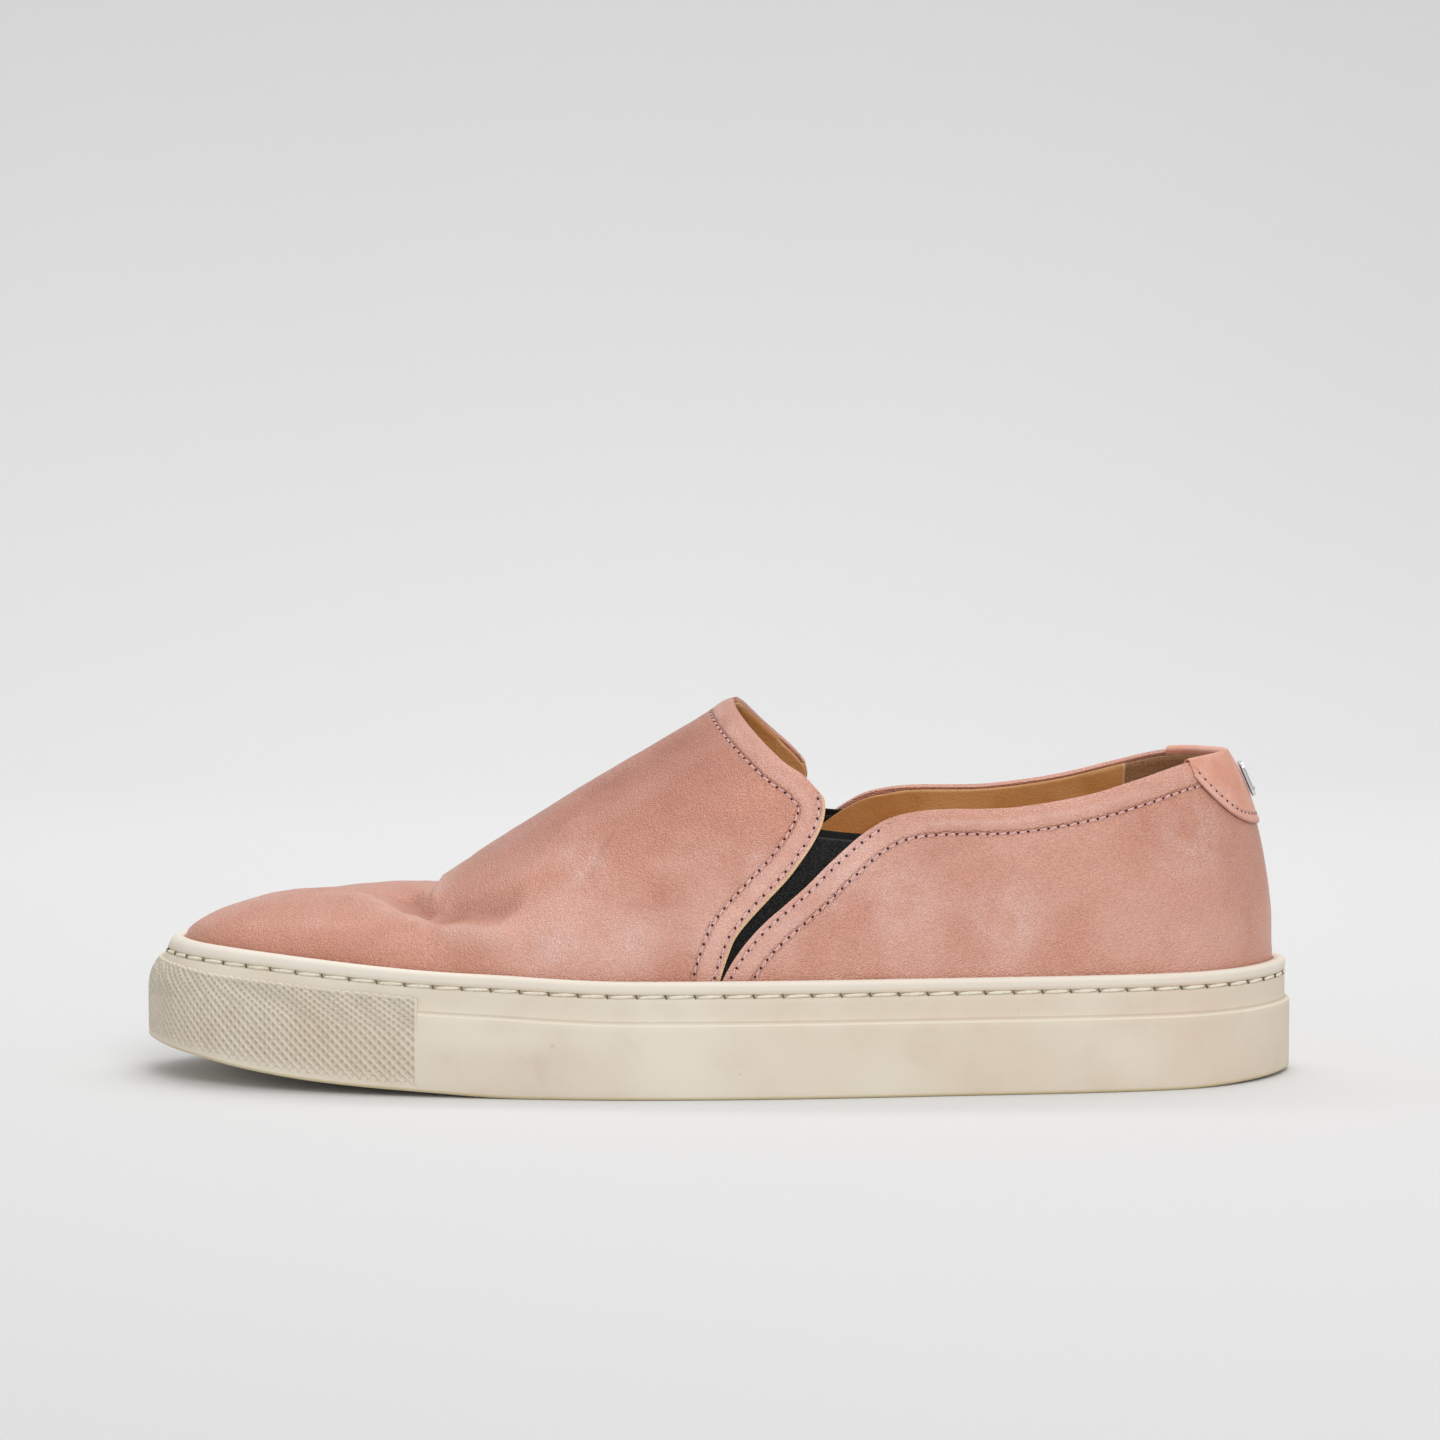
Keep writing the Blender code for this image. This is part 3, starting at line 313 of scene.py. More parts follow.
SOLE_COLUMNS = 640
OUTLINE_STEPS = 48
TREAD_THICKNESS = 0.0022
TREAD_GROOVE = 0.0012
TREAD_PITCH = 0.0095

# Outline of the sole, anticlockwise from the back of the heel along the lateral side.
# Columns: share of LENGTH from the heel, share of half BALL_WIDTH, share of half HEEL_WIDTH.

OUTLINE = (
    (0.0000, 0.000, 0.010),
    (0.0085, 0.000, -0.253),
    (0.0290, 0.000, -0.519),
    (0.0560, 0.000, -0.734),
    (0.0900, 0.000, -0.899),
    (0.1270, 0.000, -0.995),
    (0.1710, 0.000, -1.063),
    (0.2220, -0.421, -0.560),
    (0.3070, -0.895, 0.000),
    (0.3915, -0.950, 0.000),
    (0.4760, -0.990, 0.000),
    (0.5610, -1.000, 0.000),
    (0.6220, -0.980, 0.000),
    (0.6900, -0.931, 0.000),
    (0.7575, -0.875, 0.000),
    (0.8220, -0.795, 0.000),
    (0.8795, -0.690, 0.000),
    (0.9305, -0.545, 0.000),
    (0.9695, -0.350, 0.000),
    (0.9925, -0.120, 0.000),
    (1.0000, 0.080, 0.000),
    (0.9925, 0.280, 0.000),
    (0.9695, 0.505, 0.000),
    (0.9305, 0.690, 0.000),
    (0.8795, 0.840, 0.000),
    (0.8220, 0.930, 0.000),
    (0.7575, 0.983, 0.000),
    (0.6900, 1.000, 0.000),
    (0.6220, 0.983, 0.000),
    (0.5475, 0.926, 0.000),
    (0.4730, 0.848, 0.000),
    (0.3980, 0.400, 0.505),
    (0.3240, 0.000, 0.987),
    (0.2560, 0.000, 0.972),
    (0.1880, 0.000, 0.977),
    (0.1340, 0.000, 0.962),
    (0.0900, 0.000, 0.891),
    (0.0560, 0.000, 0.742),
    (0.0290, 0.000, 0.532),
    (0.0085, 0.000, 0.270),
)

# How the sole curls up at the toe, and where its wall bends inwards there.
# Columns: share of LENGTH from the heel, share of TOE_RISE, share of TOE_SPRING, share of SOLE_HEIGHT.

TOE_CURL = (
    (0.00, 0.00, 0.00, 0.56),
    (0.58, 0.00, 0.00, 0.56),
    (0.64, 0.08, 0.00, 0.56),
    (0.69, 0.21, 0.02, 0.56),
    (0.75, 0.33, 0.13, 0.57),
    (0.81, 0.52, 0.24, 0.60),
    (0.86, 0.70, 0.37, 0.65),
    (0.91, 0.86, 0.57, 0.74),
    (0.95, 0.95, 0.78, 0.78),
    (1.00, 1.00, 1.00, 0.71),
)


def table(rows, column, at):
    """A column of a table at the given shares, through a smooth curve that doesn't overshoot its rows."""
    ordered = sorted(rows)
    x = np.array([row[0] for row in ordered])
    y = np.array([row[column] for row in ordered])
    steps = np.diff(y) / np.diff(x)
    slopes = np.concatenate([steps[:1], (steps[:-1] + steps[1:]) / 2, steps[-1:]])
    turns = np.concatenate([[False], steps[:-1] * steps[1:] <= 0, [False]])
    slopes[turns] = 0
    k = np.clip(np.searchsorted(x, at) - 1, 0, len(x) - 2)
    width = x[k + 1] - x[k]
    t = np.clip((at - x[k]) / width, 0, 1)
    start = (1 + 2 * t) * (1 - t) ** 2 * y[k] + t * (1 - t) ** 2 * width * slopes[k]
    end = t * t * (3 - 2 * t) * y[k + 1] + t * t * (t - 1) * width * slopes[k + 1]
    return start + end


def station(x):
    """Share of the length, from the heel, of a place along the shoe."""
    return 0.5 - x / LENGTH


def along(share):
    return LENGTH * (0.5 - share)


def smooth_step(low, high, value):
    t = np.clip((value - low) / (high - low), 0.0, 1.0)
    return t * t * (3 - 2 * t)


def curve_through(points, steps, closed=False):
    """Points on a Catmull-Rom curve through the given ones."""
    points = [np.array(p, float) for p in points]
    count = len(points)
    made = []
    for i in range(count if closed else count - 1):
        if closed:
            a, b, c, d = (points[(i + k) % count] for k in (-1, 0, 1, 2))
        else:
            a, b = points[max(i - 1, 0)], points[i]
            c, d = points[i + 1], points[min(i + 2, count - 1)]
        for t in np.arange(steps) / steps:
            made.append(
                0.5 * (2 * b + (c - a) * t + (2 * a - 5 * b + 4 * c - d) * t * t
                       + (3 * b - a - 3 * c + d) * t ** 3)
            )
    if not closed:
        made.append(points[-1])
    return np.array(made)


def at_keys(rows, keys, at):
    """The rows of a table at numbers between its rising keys."""
    return np.stack([np.interp(at, keys, column) for column in rows.T], axis=-1)


def raised(plan, heights):
    """Places in plan with a height for each."""
    return np.concatenate([plan, heights[..., None]], axis=-1)


def unit_rows(rows):
    """The same directions at unit length."""
    return rows / np.maximum(np.linalg.norm(rows, axis=-1), 1e-12)[..., None]


def lengths_of(line):
    """Running length of a polyline."""
    return np.concatenate([[0], np.cumsum(np.linalg.norm(np.diff(line, axis=0), axis=1))])


def places_on(line, shares):
    """The points that lie at shares of a polyline's length."""
    lengths = lengths_of(line)
    return at_keys(line, lengths, shares * lengths[-1])


def leather_line(x):
    """Height of the line where the leather leaves the rubber."""
    return SOLE_HEIGHT + TOE_RISE * table(TOE_CURL, 1, station(x))


def underside(x):
    lift = HEEL_LIFT * smooth_step(0.88, 1.0, 1 - station(x))
    return TOE_SPRING * table(TOE_CURL, 2, station(x)) + lift


def leather_inset(x):
    """How far the leather stands in from the sole's outline."""
    toe = smooth_step(0.70, 1.0, station(x))
    heel = smooth_step(0.70, 1.0, 1 - station(x))
    return SIDE_INSET + (TOE_INSET - SIDE_INSET) * toe + (HEEL_INSET - SIDE_INSET) * heel


def inward_normals(loop):
    ahead = unit_rows(np.roll(loop, -1, axis=0) - np.roll(loop, 1, axis=0))
    return np.stack([-ahead[:, 1], ahead[:, 0]], axis=1)


outline_rows = [(along(u), (ball * BALL_WIDTH + heel * HEEL_WIDTH) / 2) for u, ball, heel in OUTLINE]
OUTER = curve_through(outline_rows, OUTLINE_STEPS, closed=True)
INWARD = inward_normals(OUTER)
INWARD *= np.sign(((OUTER.mean(axis=0) - OUTER) * INWARD).sum())
FEATHER = OUTER + INWARD * leather_inset(OUTER[:, 0])[:, None]
TOE_TIP = int(np.argmin(FEATHER[:, 0]))
HEEL_BACK = int(np.argmax(FEATHER[:, 0]))


def on_loop(loop, places):
    """Points of a closed loop at running counts of its points."""
    places = np.asarray(places, float)
    k = np.floor(places).astype(int)
    t = (places - k)[:, None]
    return loop[k % len(loop)] * (1 - t) + loop[(k + 1) % len(loop)] * t


def spread(loop, first, last, count):
    """Places between two of a loop's points, evenly spaced by length."""
    fine = np.linspace(first, last, 4000)
    lengths = lengths_of(on_loop(loop, fine))
    return np.interp(np.linspace(0, 1, count + 1) * lengths[-1], lengths, fine)


def edge_at(places):
    """The sole's outline at places on it, with its inward directions."""
    return on_loop(OUTER, places), unit_rows(on_loop(INWARD, places))


def ring(places, inset, height):
    """A loop round the shoe at insets from the outline and at heights."""
    edge, inward = edge_at(places)
    even = np.ones(len(places))
    return raised(edge + inward * (inset * even)[:, None], height * even)


def toe_share(x):
    return smooth_step(0.72, 1.0, station(x))


def bend_height(x):
    """Where the toe's wall starts to lean in."""
    return SOLE_HEIGHT * table(TOE_CURL, 3, station(x))


def band_inset(x, drop):
    """Inset of the band at a drop below the leather line, leaning in most at the toe."""
    share = np.clip((STEP_DROP - drop) / STEP_DROP, 0, 1)
    return STEP_LEDGE + BAND_LEAN + TOE_LEAN * toe_share(x) * share


def in_bumper(x):
    return station(x) > BUMPER_END


def bumper_drop(x):
    """How far the toe bumper's upper edge lies below the leather line."""
    return BUMPER_DROP + (BUMPER_TIP_DROP - BUMPER_DROP) * smooth_step(0.93, 1.0, station(x))


def wall_inset(x, height):
    """Inset of the toe bumper's ground, upright below its bend and leaning in above it."""
    top = leather_line(x) - bumper_drop(x)
    share = np.clip((height - bend_height(x)) / (top - bend_height(x)), 0, 1)
    lean = band_inset(x, bumper_drop(x)) - BUMPER_RECESS
    return lean * share ** (1 + TIP_ROUNDING * smooth_step(0.95, 1.0, station(x)))


def step_inset(x, share):
    """Inset from the wall's rounded upper edge to the foot of the band. In the bumper there is no step."""
    plain = STEP_LEDGE * share
    return np.where(in_bumper(x), wall_inset(x, step_height(x, share)) + BUMPER_RECESS, plain)


def step_height(x, share):
    plain = leather_line(x) - STEP_DROP + STEP_ROUND * (share - 0.5)
    return np.where(in_bumper(x), leather_line(x) - bumper_drop(x) - BUMPER_LIP * (1 - share), plain)


def sole_profile(x):
    """Insets and heights of the sole's side, row by row from the edge of its underside up to the leather."""
    low, top = underside(x), leather_line(x)
    base = TREAD_THICKNESS * 0.6
    yield 0.004, low + base
    yield EDGE_ROUND * 1.3, low + base * 0.5
    for a in np.linspace(0, math.pi / 2, 6):
        yield EDGE_ROUND * (1 - math.sin(a)), low + EDGE_ROUND * (1 - math.cos(a))
    for share in np.linspace(0.08, 1.0, 10):
        yield ground_inset(x, share), wall_height(x, share)
    for share in (0.1, 0.35, 0.7, 1.0):
        yield step_inset(x, share), step_height(x, share)
    for share in np.linspace(0.0, 1.0, 6)[1:]:
        drop = band_drop(x, share)
        yield band_inset(x, drop), top - drop
    for turn in np.linspace(-1, 1, 7)[1:]:
        depth = GROOVE_DEPTH * (0.5 + 0.5 * math.cos(turn * math.pi))
        drop = STITCH_DROP - GROOVE_HALF * turn
        yield band_inset(x, drop) + depth, top - drop
    for a in np.linspace(-0.25, math.pi / 2, 9):
        drop = BEAD_CENTRE - BEAD_RADIUS * math.sin(a)
        out = BEAD_RADIUS * (1 - math.cos(a)) - BEAD_OVERHANG
        yield band_inset(x, max(0.0, drop)) + out, top - drop
    inner = leather_inset(x) - CLEARANCE
    yield inner - CLEARANCE, top + 0.0001
    yield inner, top - 0.0003
    yield inner, top - CUP_DEPTH
    yield leather_inset(x) + 0.010, top - CUP_DEPTH


def wall_height(x, share):
    low = underside(x) + EDGE_ROUND
    plain = leather_line(x) - STEP_DROP - STEP_ROUND
    high = np.where(in_bumper(x), leather_line(x) - bumper_drop(x) - BUMPER_LIP_FOOT, plain)
    return low + (high - low) * share


def ground_inset(x, share):
    """Inset of the wall, which is sunk behind the bumper's net where that covers it."""
    sunk = wall_inset(x, wall_height(x, share)) + BUMPER_RECESS * min(1, share * 8)
    return np.where(in_bumper(x), sunk, 0.0)


def band_drop(x, share):
    """Drops of the band's rows, from the step or from the bumper's upper edge up to the stitches."""
    low = np.where(in_bumper(x), bumper_drop(x), STEP_DROP - STEP_ROUND / 2)
    high = STITCH_DROP + GROOVE_HALF
    return low + (high - low) * share


def halved(low, high, stays, rounds):
    """Closes in, by halves, on where a test that holds at low stops holding."""
    for _ in range(rounds):
        middle = (low + high) / 2
        low, high = (middle, high) if stays(middle) else (low, middle)
    return low, high


sole_places = spread(OUTER, HEEL_BACK, HEEL_BACK + len(OUTER), SOLE_COLUMNS)
outer_x = on_loop(OUTER, sole_places)[:, 0]
turns = np.nonzero(np.diff(in_bumper(outer_x).astype(int)))[0]
extra = []
for k in turns:
    here = in_bumper(outer_x[k])
    ends = sole_places[k], sole_places[k + 1]
    low, high = halved(*ends, lambda at: in_bumper(on_loop(OUTER, [at])[0, 0]) == here, 20)
    extra += [low - 0.05, high + 0.05]
BUMPER_PLACES = (extra[0], extra[-1])
sole_places = np.sort(np.concatenate([sole_places, extra]))


def layered(colour, *layers):
    """A colour under others, each given with how much of it shows."""
    for share, over in layers:
        colour = share.tint(colour, over)
    return colour


rubber, rubber_place, rubber_shader = finish_named("cream_rubber")
rubber_patch = rubber_place.noise(22.0, 2.0).ramp(0.3, 0.7)
rubber_cloud = rubber_place.noise(90.0, 3.0, 0.55).ramp(0.45, 0.8)
rubber_speck = rubber_place.noise(420.0, 1.0).ramp(0.76, 0.82)
rubber_rise = rubber_place.measured("rise")
rubber_ledge = rubber_place.measured("ledge")
rubber_along = rubber_place.part(0)
heel_dirt = rubber_along.ramp(0.03, 0.13) * rubber_place.noise(40.0, 3.0, 0.55).ramp(0.35, 0.7)
scuffed = rubber_along.ridge(-0.052, 0.045) * rubber_rise.ramp(0.016, 0.009)
rubber_colour = layered(
    rubber_patch.tint(CREAM, CREAM_SHADE),
    (rubber_cloud * 0.22, CREAM_DIRT),
    (scuffed * (0.35 + rubber_cloud * 0.25), CREAM_DIRT),
    (heel_dirt * 0.4, HEEL_DIRT),
    (rubber_speck * 0.2, SPECK),
    # Painted shade in the corner at the foot of the band, and a painted highlight along the wall's rounded
    # top edge.
    (rubber_ledge.ridge(0.0005, 0.0004) * 0.35, LEDGE_SHADE),
    (rubber_ledge.ridge(-0.0002, 0.0004) * 0.6, LEDGE_HIGHLIGHT),
    # The bead, from the top of the stitch groove up, painted paler: painted light.
    (rubber_ledge.ramp(BEAD_FOOT, BEAD_FOOT + 0.001) * 0.6, BEAD_HIGHLIGHT),
    (rubber_rise.ramp(0.0012, 0.0004) * 0.55, CREAM_YELLOW),
    # The bumper's sunken diamonds darkened: painted shade, with some dirt.
    (rubber_place.measured("sunk") * 0.3, NET_SHADE),
)
rubber_relief = (rubber_place.noise(900.0, 2.0) * 0.5 + rubber_cloud * 0.2).bump(0.0001, 0.5)
set_finish(
    rubber_shader,
    {"Base Color": rubber_colour, "Roughness": rubber_patch * 0.06 + 0.52, "Normal": rubber_relief},
    Specular_IOR_Level=0.35,
)

ring_x = on_loop(OUTER, sole_places)[:, 0]
profile = np.array([ring(sole_places, inset, height) for inset, height in sole_profile(ring_x)])
rise = profile[:, :, 2] - underside(ring_x)
from_ledge = profile[:, :, 2] - (leather_line(ring_x) - STEP_DROP)
from_ledge = np.where(in_bumper(ring_x) & (from_ledge < BEAD_FOOT), LEDGE_NONE, from_ledge)
sole_mesh = laid_grid(profile, {"rise": rise, "ledge": from_ledge}, closed=True)
bmesh.ops.holes_fill(sole_mesh, edges=[e for e in sole_mesh.edges if e.is_boundary], sides=0)
bmesh.ops.recalc_face_normals(sole_mesh, faces=sole_mesh.faces)
sole = piece_of("sole", sole_mesh, rubber)
sole.data.set_sharp_from_angle(angle=math.radians(50))
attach(sole, "root")
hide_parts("sole")

# Toe bumper
# Moulded with the sole round the toe: a net of fine raised ribs round small sunken diamonds, with a smooth
# upright rib at each end. Its wall bends in softly halfway up.

DIAMOND_PITCH = 0.00245
DIAMOND_FLATTEN = 1.5
RIB_HEIGHT = 0.00085
RIB_SHARPNESS = 3.0
BUMPER_RIM = 0.0010
BUMPER_COLUMNS = 740
BUMPER_ROWS = 58
BUMPER_BACK = 0.0006
BUMPER_TOP_RIM = (0.0005, 0.0002)
BUMPER_LOW_RIM = (0.0012, 0.0004)

bumper_places = spread(OUTER, BUMPER_PLACES[0], BUMPER_PLACES[1], BUMPER_COLUMNS)
bumper_edge, bumper_inward = edge_at(bumper_places)
bumper_x = bumper_edge[:, 0]
bumper_run = lengths_of(bumper_edge)
bumper_rows = np.linspace(0, 1, BUMPER_ROWS)[:, None]
bumper_low = underside(bumper_x) + EDGE_ROUND * 0.9
bumper_high = leather_line(bumper_x) - bumper_drop(bumper_x)
bumper_z = bumper_low + (bumper_high - bumper_low) * bumper_rows
above_bend = np.maximum(0, bumper_z - bend_height(bumper_x))
below_bend = bumper_z - above_bend
climb = below_bend + above_bend * DIAMOND_FLATTEN
net_run = bumper_run[None, :] / DIAMOND_PITCH
net_climb = (climb - TOE_SPRING) / DIAMOND_PITCH
net = np.zeros_like(climb)
for slant in (1, -1):
    wave = 0.5 + 0.5 * np.cos(2 * math.pi * (net_run + slant * net_climb))
    net = np.maximum(net, wave ** RIB_SHARPNESS)
bumper_end = np.minimum(bumper_run, bumper_run[-1] - bumper_run)[None, :]
rim = np.maximum(
    smooth_step(BUMPER_RIM, BUMPER_RIM * 0.55, bumper_end) * np.ones_like(bumper_z),
    smooth_step(*BUMPER_TOP_RIM, bumper_high - bumper_z),
)
net = net * (1 - rim) + rim
low_rim = smooth_step(*BUMPER_LOW_RIM, bumper_z - bumper_low)
net = net * (1 - low_rim) + low_rim * 0.6
sunk = smooth_step(0.45, 0.05, net)
bumper_lift = BUMPER_RECESS + RIB_HEIGHT * (net - 1)
bumper_inset = wall_inset(bumper_x, bumper_z) + BUMPER_RECESS - bumper_lift
bumper_points = raised(bumper_edge + bumper_inward * bumper_inset[:, :, None], bumper_z)
bumper_rise = bumper_z - underside(bumper_x)
bumper_values = {"rise": bumper_rise, "sunk": sunk, "ledge": np.full_like(sunk, LEDGE_NONE)}


def sheet(name, points, values, material, thickness, middle=(0.0, 0.0, 0.03), offset=-1, rounding=0):
    """A sheet laid on a table of points, facing away from a middle, with its thickness and round edges."""
    mesh = laid_grid(points, values)
    mesh.normal_update()
    centre = Vector(middle)
    if sum(f.normal.dot(f.calc_center_median() - centre) for f in mesh.faces) < 0:
        bmesh.ops.reverse_faces(mesh, faces=mesh.faces)
    made = piece_of(name, mesh, material)
    wall = made.modifiers.new("wall", "SOLIDIFY")
    wall.thickness = thickness
    wall.offset = offset
    wall.use_even_offset = False
    wall.use_quality_normals = True
    if rounding:
        soften = made.modifiers.new("rounded_edge", "BEVEL")
        soften.width = rounding
        soften.segments = 3
        soften.limit_method = "ANGLE"
        soften.angle_limit = math.radians(60)
    return made


bumper = sheet("toe_bumper", bumper_points, bumper_values, rubber, BUMPER_BACK)
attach(bumper, "root")
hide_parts("sole")

# Tread
# The underside of the sole, of the same rubber, with cross grooves under the forefoot and the heel that let
# it flex. It is moulded in one with the walls.

TREAD_ROWS = 500
TREAD_COLUMNS = 40
TREAD_RIM = 0.0075
TREAD_RISE = 0.004
TREAD_LEDGE = 0.01
TREAD_ZONES = ((0.60, 0.90), (0.08, 0.22))
TREAD_GROOVE_SIDE = (0.0014, 0.0008)


def side_line(loop, side):
    """One side of a loop round the shoe, from heel to toe. side is -1 for lateral and 1 for medial."""
    count = len(loop)
    steps = (TOE_TIP - HEEL_BACK) % count if side < 0 else (HEEL_BACK - TOE_TIP) % count
    picked = (HEEL_BACK - side * np.arange(steps + 1)) % count
    return loop[picked]


def across_shoe(loop, columns, rows, ends=0.0004):
    """Places from side to side of a closed loop, row by row from heel to toe, and how far in they lie."""
    sides = [side_line(loop, side) for side in (-1, 1)]
    high = min(line[:, 0].max() for line in sides) - ends
    low = max(line[:, 0].min() for line in sides) + ends
    turn = np.linspace(0, math.pi, rows)
    even = np.linspace(0, 1, rows)
    x = high + (low - high) * (0.12 * (1 - np.cos(turn)) / 2 + 0.88 * even)
    edges = [np.interp(-x, -line[:, 0], line[:, 1]) for line in sides]
    t = np.linspace(0, 1, columns)
    y = edges[0][:, None] * (1 - t) + edges[1][:, None] * t
    from_edge = np.minimum(y - edges[0][:, None], edges[1][:, None] - y)
    return np.stack([x[:, None] * np.ones_like(y), y], axis=2), from_edge


tread_loop = OUTER + INWARD * EDGE_ROUND * 0.9
tread_plan, from_edge = across_shoe(tread_loop, TREAD_COLUMNS, TREAD_ROWS)
tread_x = tread_plan[:, :, 0]
groove = np.zeros_like(tread_x)
for first, last in TREAD_ZONES:
    for k in range(int((last - first) * LENGTH / TREAD_PITCH) + 1):
        centre = along(first) - k * TREAD_PITCH
        groove = np.maximum(groove, smooth_step(*TREAD_GROOVE_SIDE, np.abs(tread_x - centre)))
groove *= smooth_step(TREAD_RIM, TREAD_RIM + 0.002, from_edge)
tread_z = underside(tread_x) + TREAD_GROOVE * groove + 0.00001
tread_values = {"rise": np.full_like(tread_x, TREAD_RISE), "ledge": np.full_like(tread_x, TREAD_LEDGE)}
tread = sheet("tread", raised(tread_plan, tread_z), tread_values, rubber, TREAD_THICKNESS * 0.5)
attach(tread, "root")
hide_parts("sole")

# Sole stitches
# Waxed cream thread, sewn through the rubber and the upper in long stitches that lie in the groove, each
# with a dark yellowish-brown ball at its ends that stands for the hole, as its painted shade.

SOLE_STITCH_PITCH = 0.0072
SOLE_STITCH_LENGTH = 0.0069
SOLE_THREAD = 0.00092
THREAD_CREAM = srgb(236, 229, 212)
# Colours of the balls at the sole's holes: painted shade.
HOLE_SHADE_BROWN = srgb(128, 104, 52)
HOLE_SLANT = 0.5
SOLE_HOLE = (0.0004, 0.0013, 0.0006)
THREAD_SHADE = srgb(216, 207, 186)
HOLE_SHADE_DEEP = srgb(90, 72, 35)

thread_cream, thread_place, thread_shader = finish_named("cream_thread")
twist = thread_place.noise(900.0, 1.0, stretch=(1.0, 1.0, 3.0))
set_finish(
    thread_shader,
    {
        "Base Color": twist.ramp(0.25, 0.55).tint(THREAD_SHADE, THREAD_CREAM),
        "Normal": twist.bump(0.0002, 0.8),
    },
    Roughness=0.6,
)


def two_toned(name, scale, first, second, roughness):
    """A matt finish that wanders between two colours."""
    material, place, shader = finish_named(name)
    colour = place.noise(scale).ramp(0.3, 0.7).tint(first, second)
    set_finish(shader, {"Base Color": colour}, Roughness=roughness)
    return material


# Dark balls at the sole's needle holes: painted shade.
hole_shade_brown = two_toned("sole_hole_painted_shade", 700.0, HOLE_SHADE_BROWN, HOLE_SHADE_DEEP, 0.9)


def frame_at(place, ahead, outward, size):
    """A matrix that turns a unit ball to lie along a line on a surface, scaled to a size."""
    forward = Vector(ahead).normalized()
    up = Vector(outward).normalized()
    across = up.cross(forward).normalized()
    up = forward.cross(across)
    turn = Matrix((forward, across, up)).transposed().to_4x4()
    return Matrix.Translation(Vector(place)) @ turn @ Matrix.Diagonal((*size, 1.0))


def sewn_piece(name, lines, pitch, length, thread, sink, hole, slant, *materials):
    """Stitches along lines on a surface, each with its outward directions, and dark balls between them that
    stand for the needle holes as painted shade.
    """
    mesh = bmesh.new()

    def ball(place, ahead, up, size, rounds):
        matrix = frame_at(place, ahead, up, size)
        return bmesh.ops.create_uvsphere(mesh, u_segments=8, v_segments=rounds, radius=0.5, matrix=matrix)

    for line, outward in lines:
        lengths = lengths_of(line)
        count = max(1, int(lengths[-1] / pitch))
        gap = lengths[-1] / count
        for k in range(2 * count + 1):
            at = k * gap / 2
            up = Vector(at_keys(outward, lengths, at)).normalized()
            near = [Vector(at_keys(line, lengths, at + step * gap / 4)) for step in (-1, 0, 1)]
            place, ahead = near[1], (near[2] - near[0]).normalized()
            across = up.cross(ahead)
            if k % 2:
                ball(place - up * sink, ahead + across * slant, up, (length, thread, thread), 6)
                continue
            # Each hole ball takes the second finish, painted shade for the hole.
            made = ball(place + up * hole[2] * 0.1, ahead + across * HOLE_SLANT, up, hole, 4)
            for face in {f for v in made["verts"] for f in v.link_faces}:
                face.material_index = 1
    return piece_of(name, mesh, *materials)


def ring_line(drop, inset, columns=1400):
    """A line round the sole at a drop below the leather line, with its outward directions."""
    places = spread(OUTER, HEEL_BACK, HEEL_BACK + len(OUTER), columns)
    edge, inward = edge_at(places)
    x = edge[:, 0]
    line = ring(places, band_inset(x, drop) + inset, leather_line(x) - drop)
    return line, raised(-inward, np.full(len(x), 0.25))


sole_stitches = sewn_piece(
    "sole_stitches", [ring_line(STITCH_DROP, GROOVE_DEPTH * 0.25)], SOLE_STITCH_PITCH, SOLE_STITCH_LENGTH,
    SOLE_THREAD, SOLE_THREAD * 0.05, SOLE_HOLE, 0.04, thread_cream, hole_shade_brown,
)
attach(sole_stitches, "root")

# Upper: vamp and quarters
# Two panels of soft rose calf leather, drum dyed, so the colour is uneven. The vamp is one piece from slit
# to slit, creased behind the toe box. The quarters run round the heel, with their top edge folded over.

TOE_BOX_RISE = 0.0180
INSTEP_RISE = 0.0673
COLLAR_RISE = 0.0415
HEEL_RISE = 0.0530
MEDIAL_RAISE = 0.0012
MEDIAL_FORWARD = 0.0020
BULGE = 0.0010
LEATHER = 0.0013
SECTION_STEPS = 90
VAMP_COLUMNS = 360
VAMP_ROWS = 126
CREASE_ZONE = (0.27, 0.13)
CREASE_CROWD = 1.8
NARROW_CREASE = 3.0
DEEP_CREASE = -0.0015
ROW_CROWD = 1.1
RIM_CROWD = 12
SLIT_LEAN_REACH = 0.31
QUARTER_COLUMNS = 330
QUARTER_ROWS = 56
ROSE = srgb(219, 154, 130)
ROSE_DEEP = srgb(200, 132, 107)
ROSE_DARK = srgb(172, 104, 81)
# A painted highlight colour.
SHINE = srgb(244, 210, 204)
ROSE_PALE = srgb(236, 185, 168)
SPECKLE = srgb(164, 98, 78)
# Painted shade for the crease troughs.
CREASE_TROUGH_SHADE = srgb(172, 108, 86)
# Paler crests of worn creases: wear with painted sheen.
CREASE_WORN_SHEEN = srgb(234, 196, 182)
RAW_EDGE = srgb(226, 186, 142)
SEAM_INSET = 0.0067
SLIT_SEAM_INSET = 0.0016
PADDING = 0.0005
INSTEP_SLOPE = 0.385
FADE_RISE = 0.006
BACK_GROOVE = 0.0007

# Unevenness of the leather, as waves: height, how many to a metre, and a seed.

VAMP_WAVES = ((0.00030, 75.0, 3.0), (0.00014, 190.0, 9.0))
QUARTER_WAVES = ((0.00035, 60.0, 21.0), (0.00012, 170.0, 5.0))

# Centre line of the last, above the leather line.
# Columns: share of LENGTH from the heel, share of TOE_BOX_RISE, share of INSTEP_RISE, and how far the ridge
# lies to the medial side, as a share of half BALL_WIDTH.

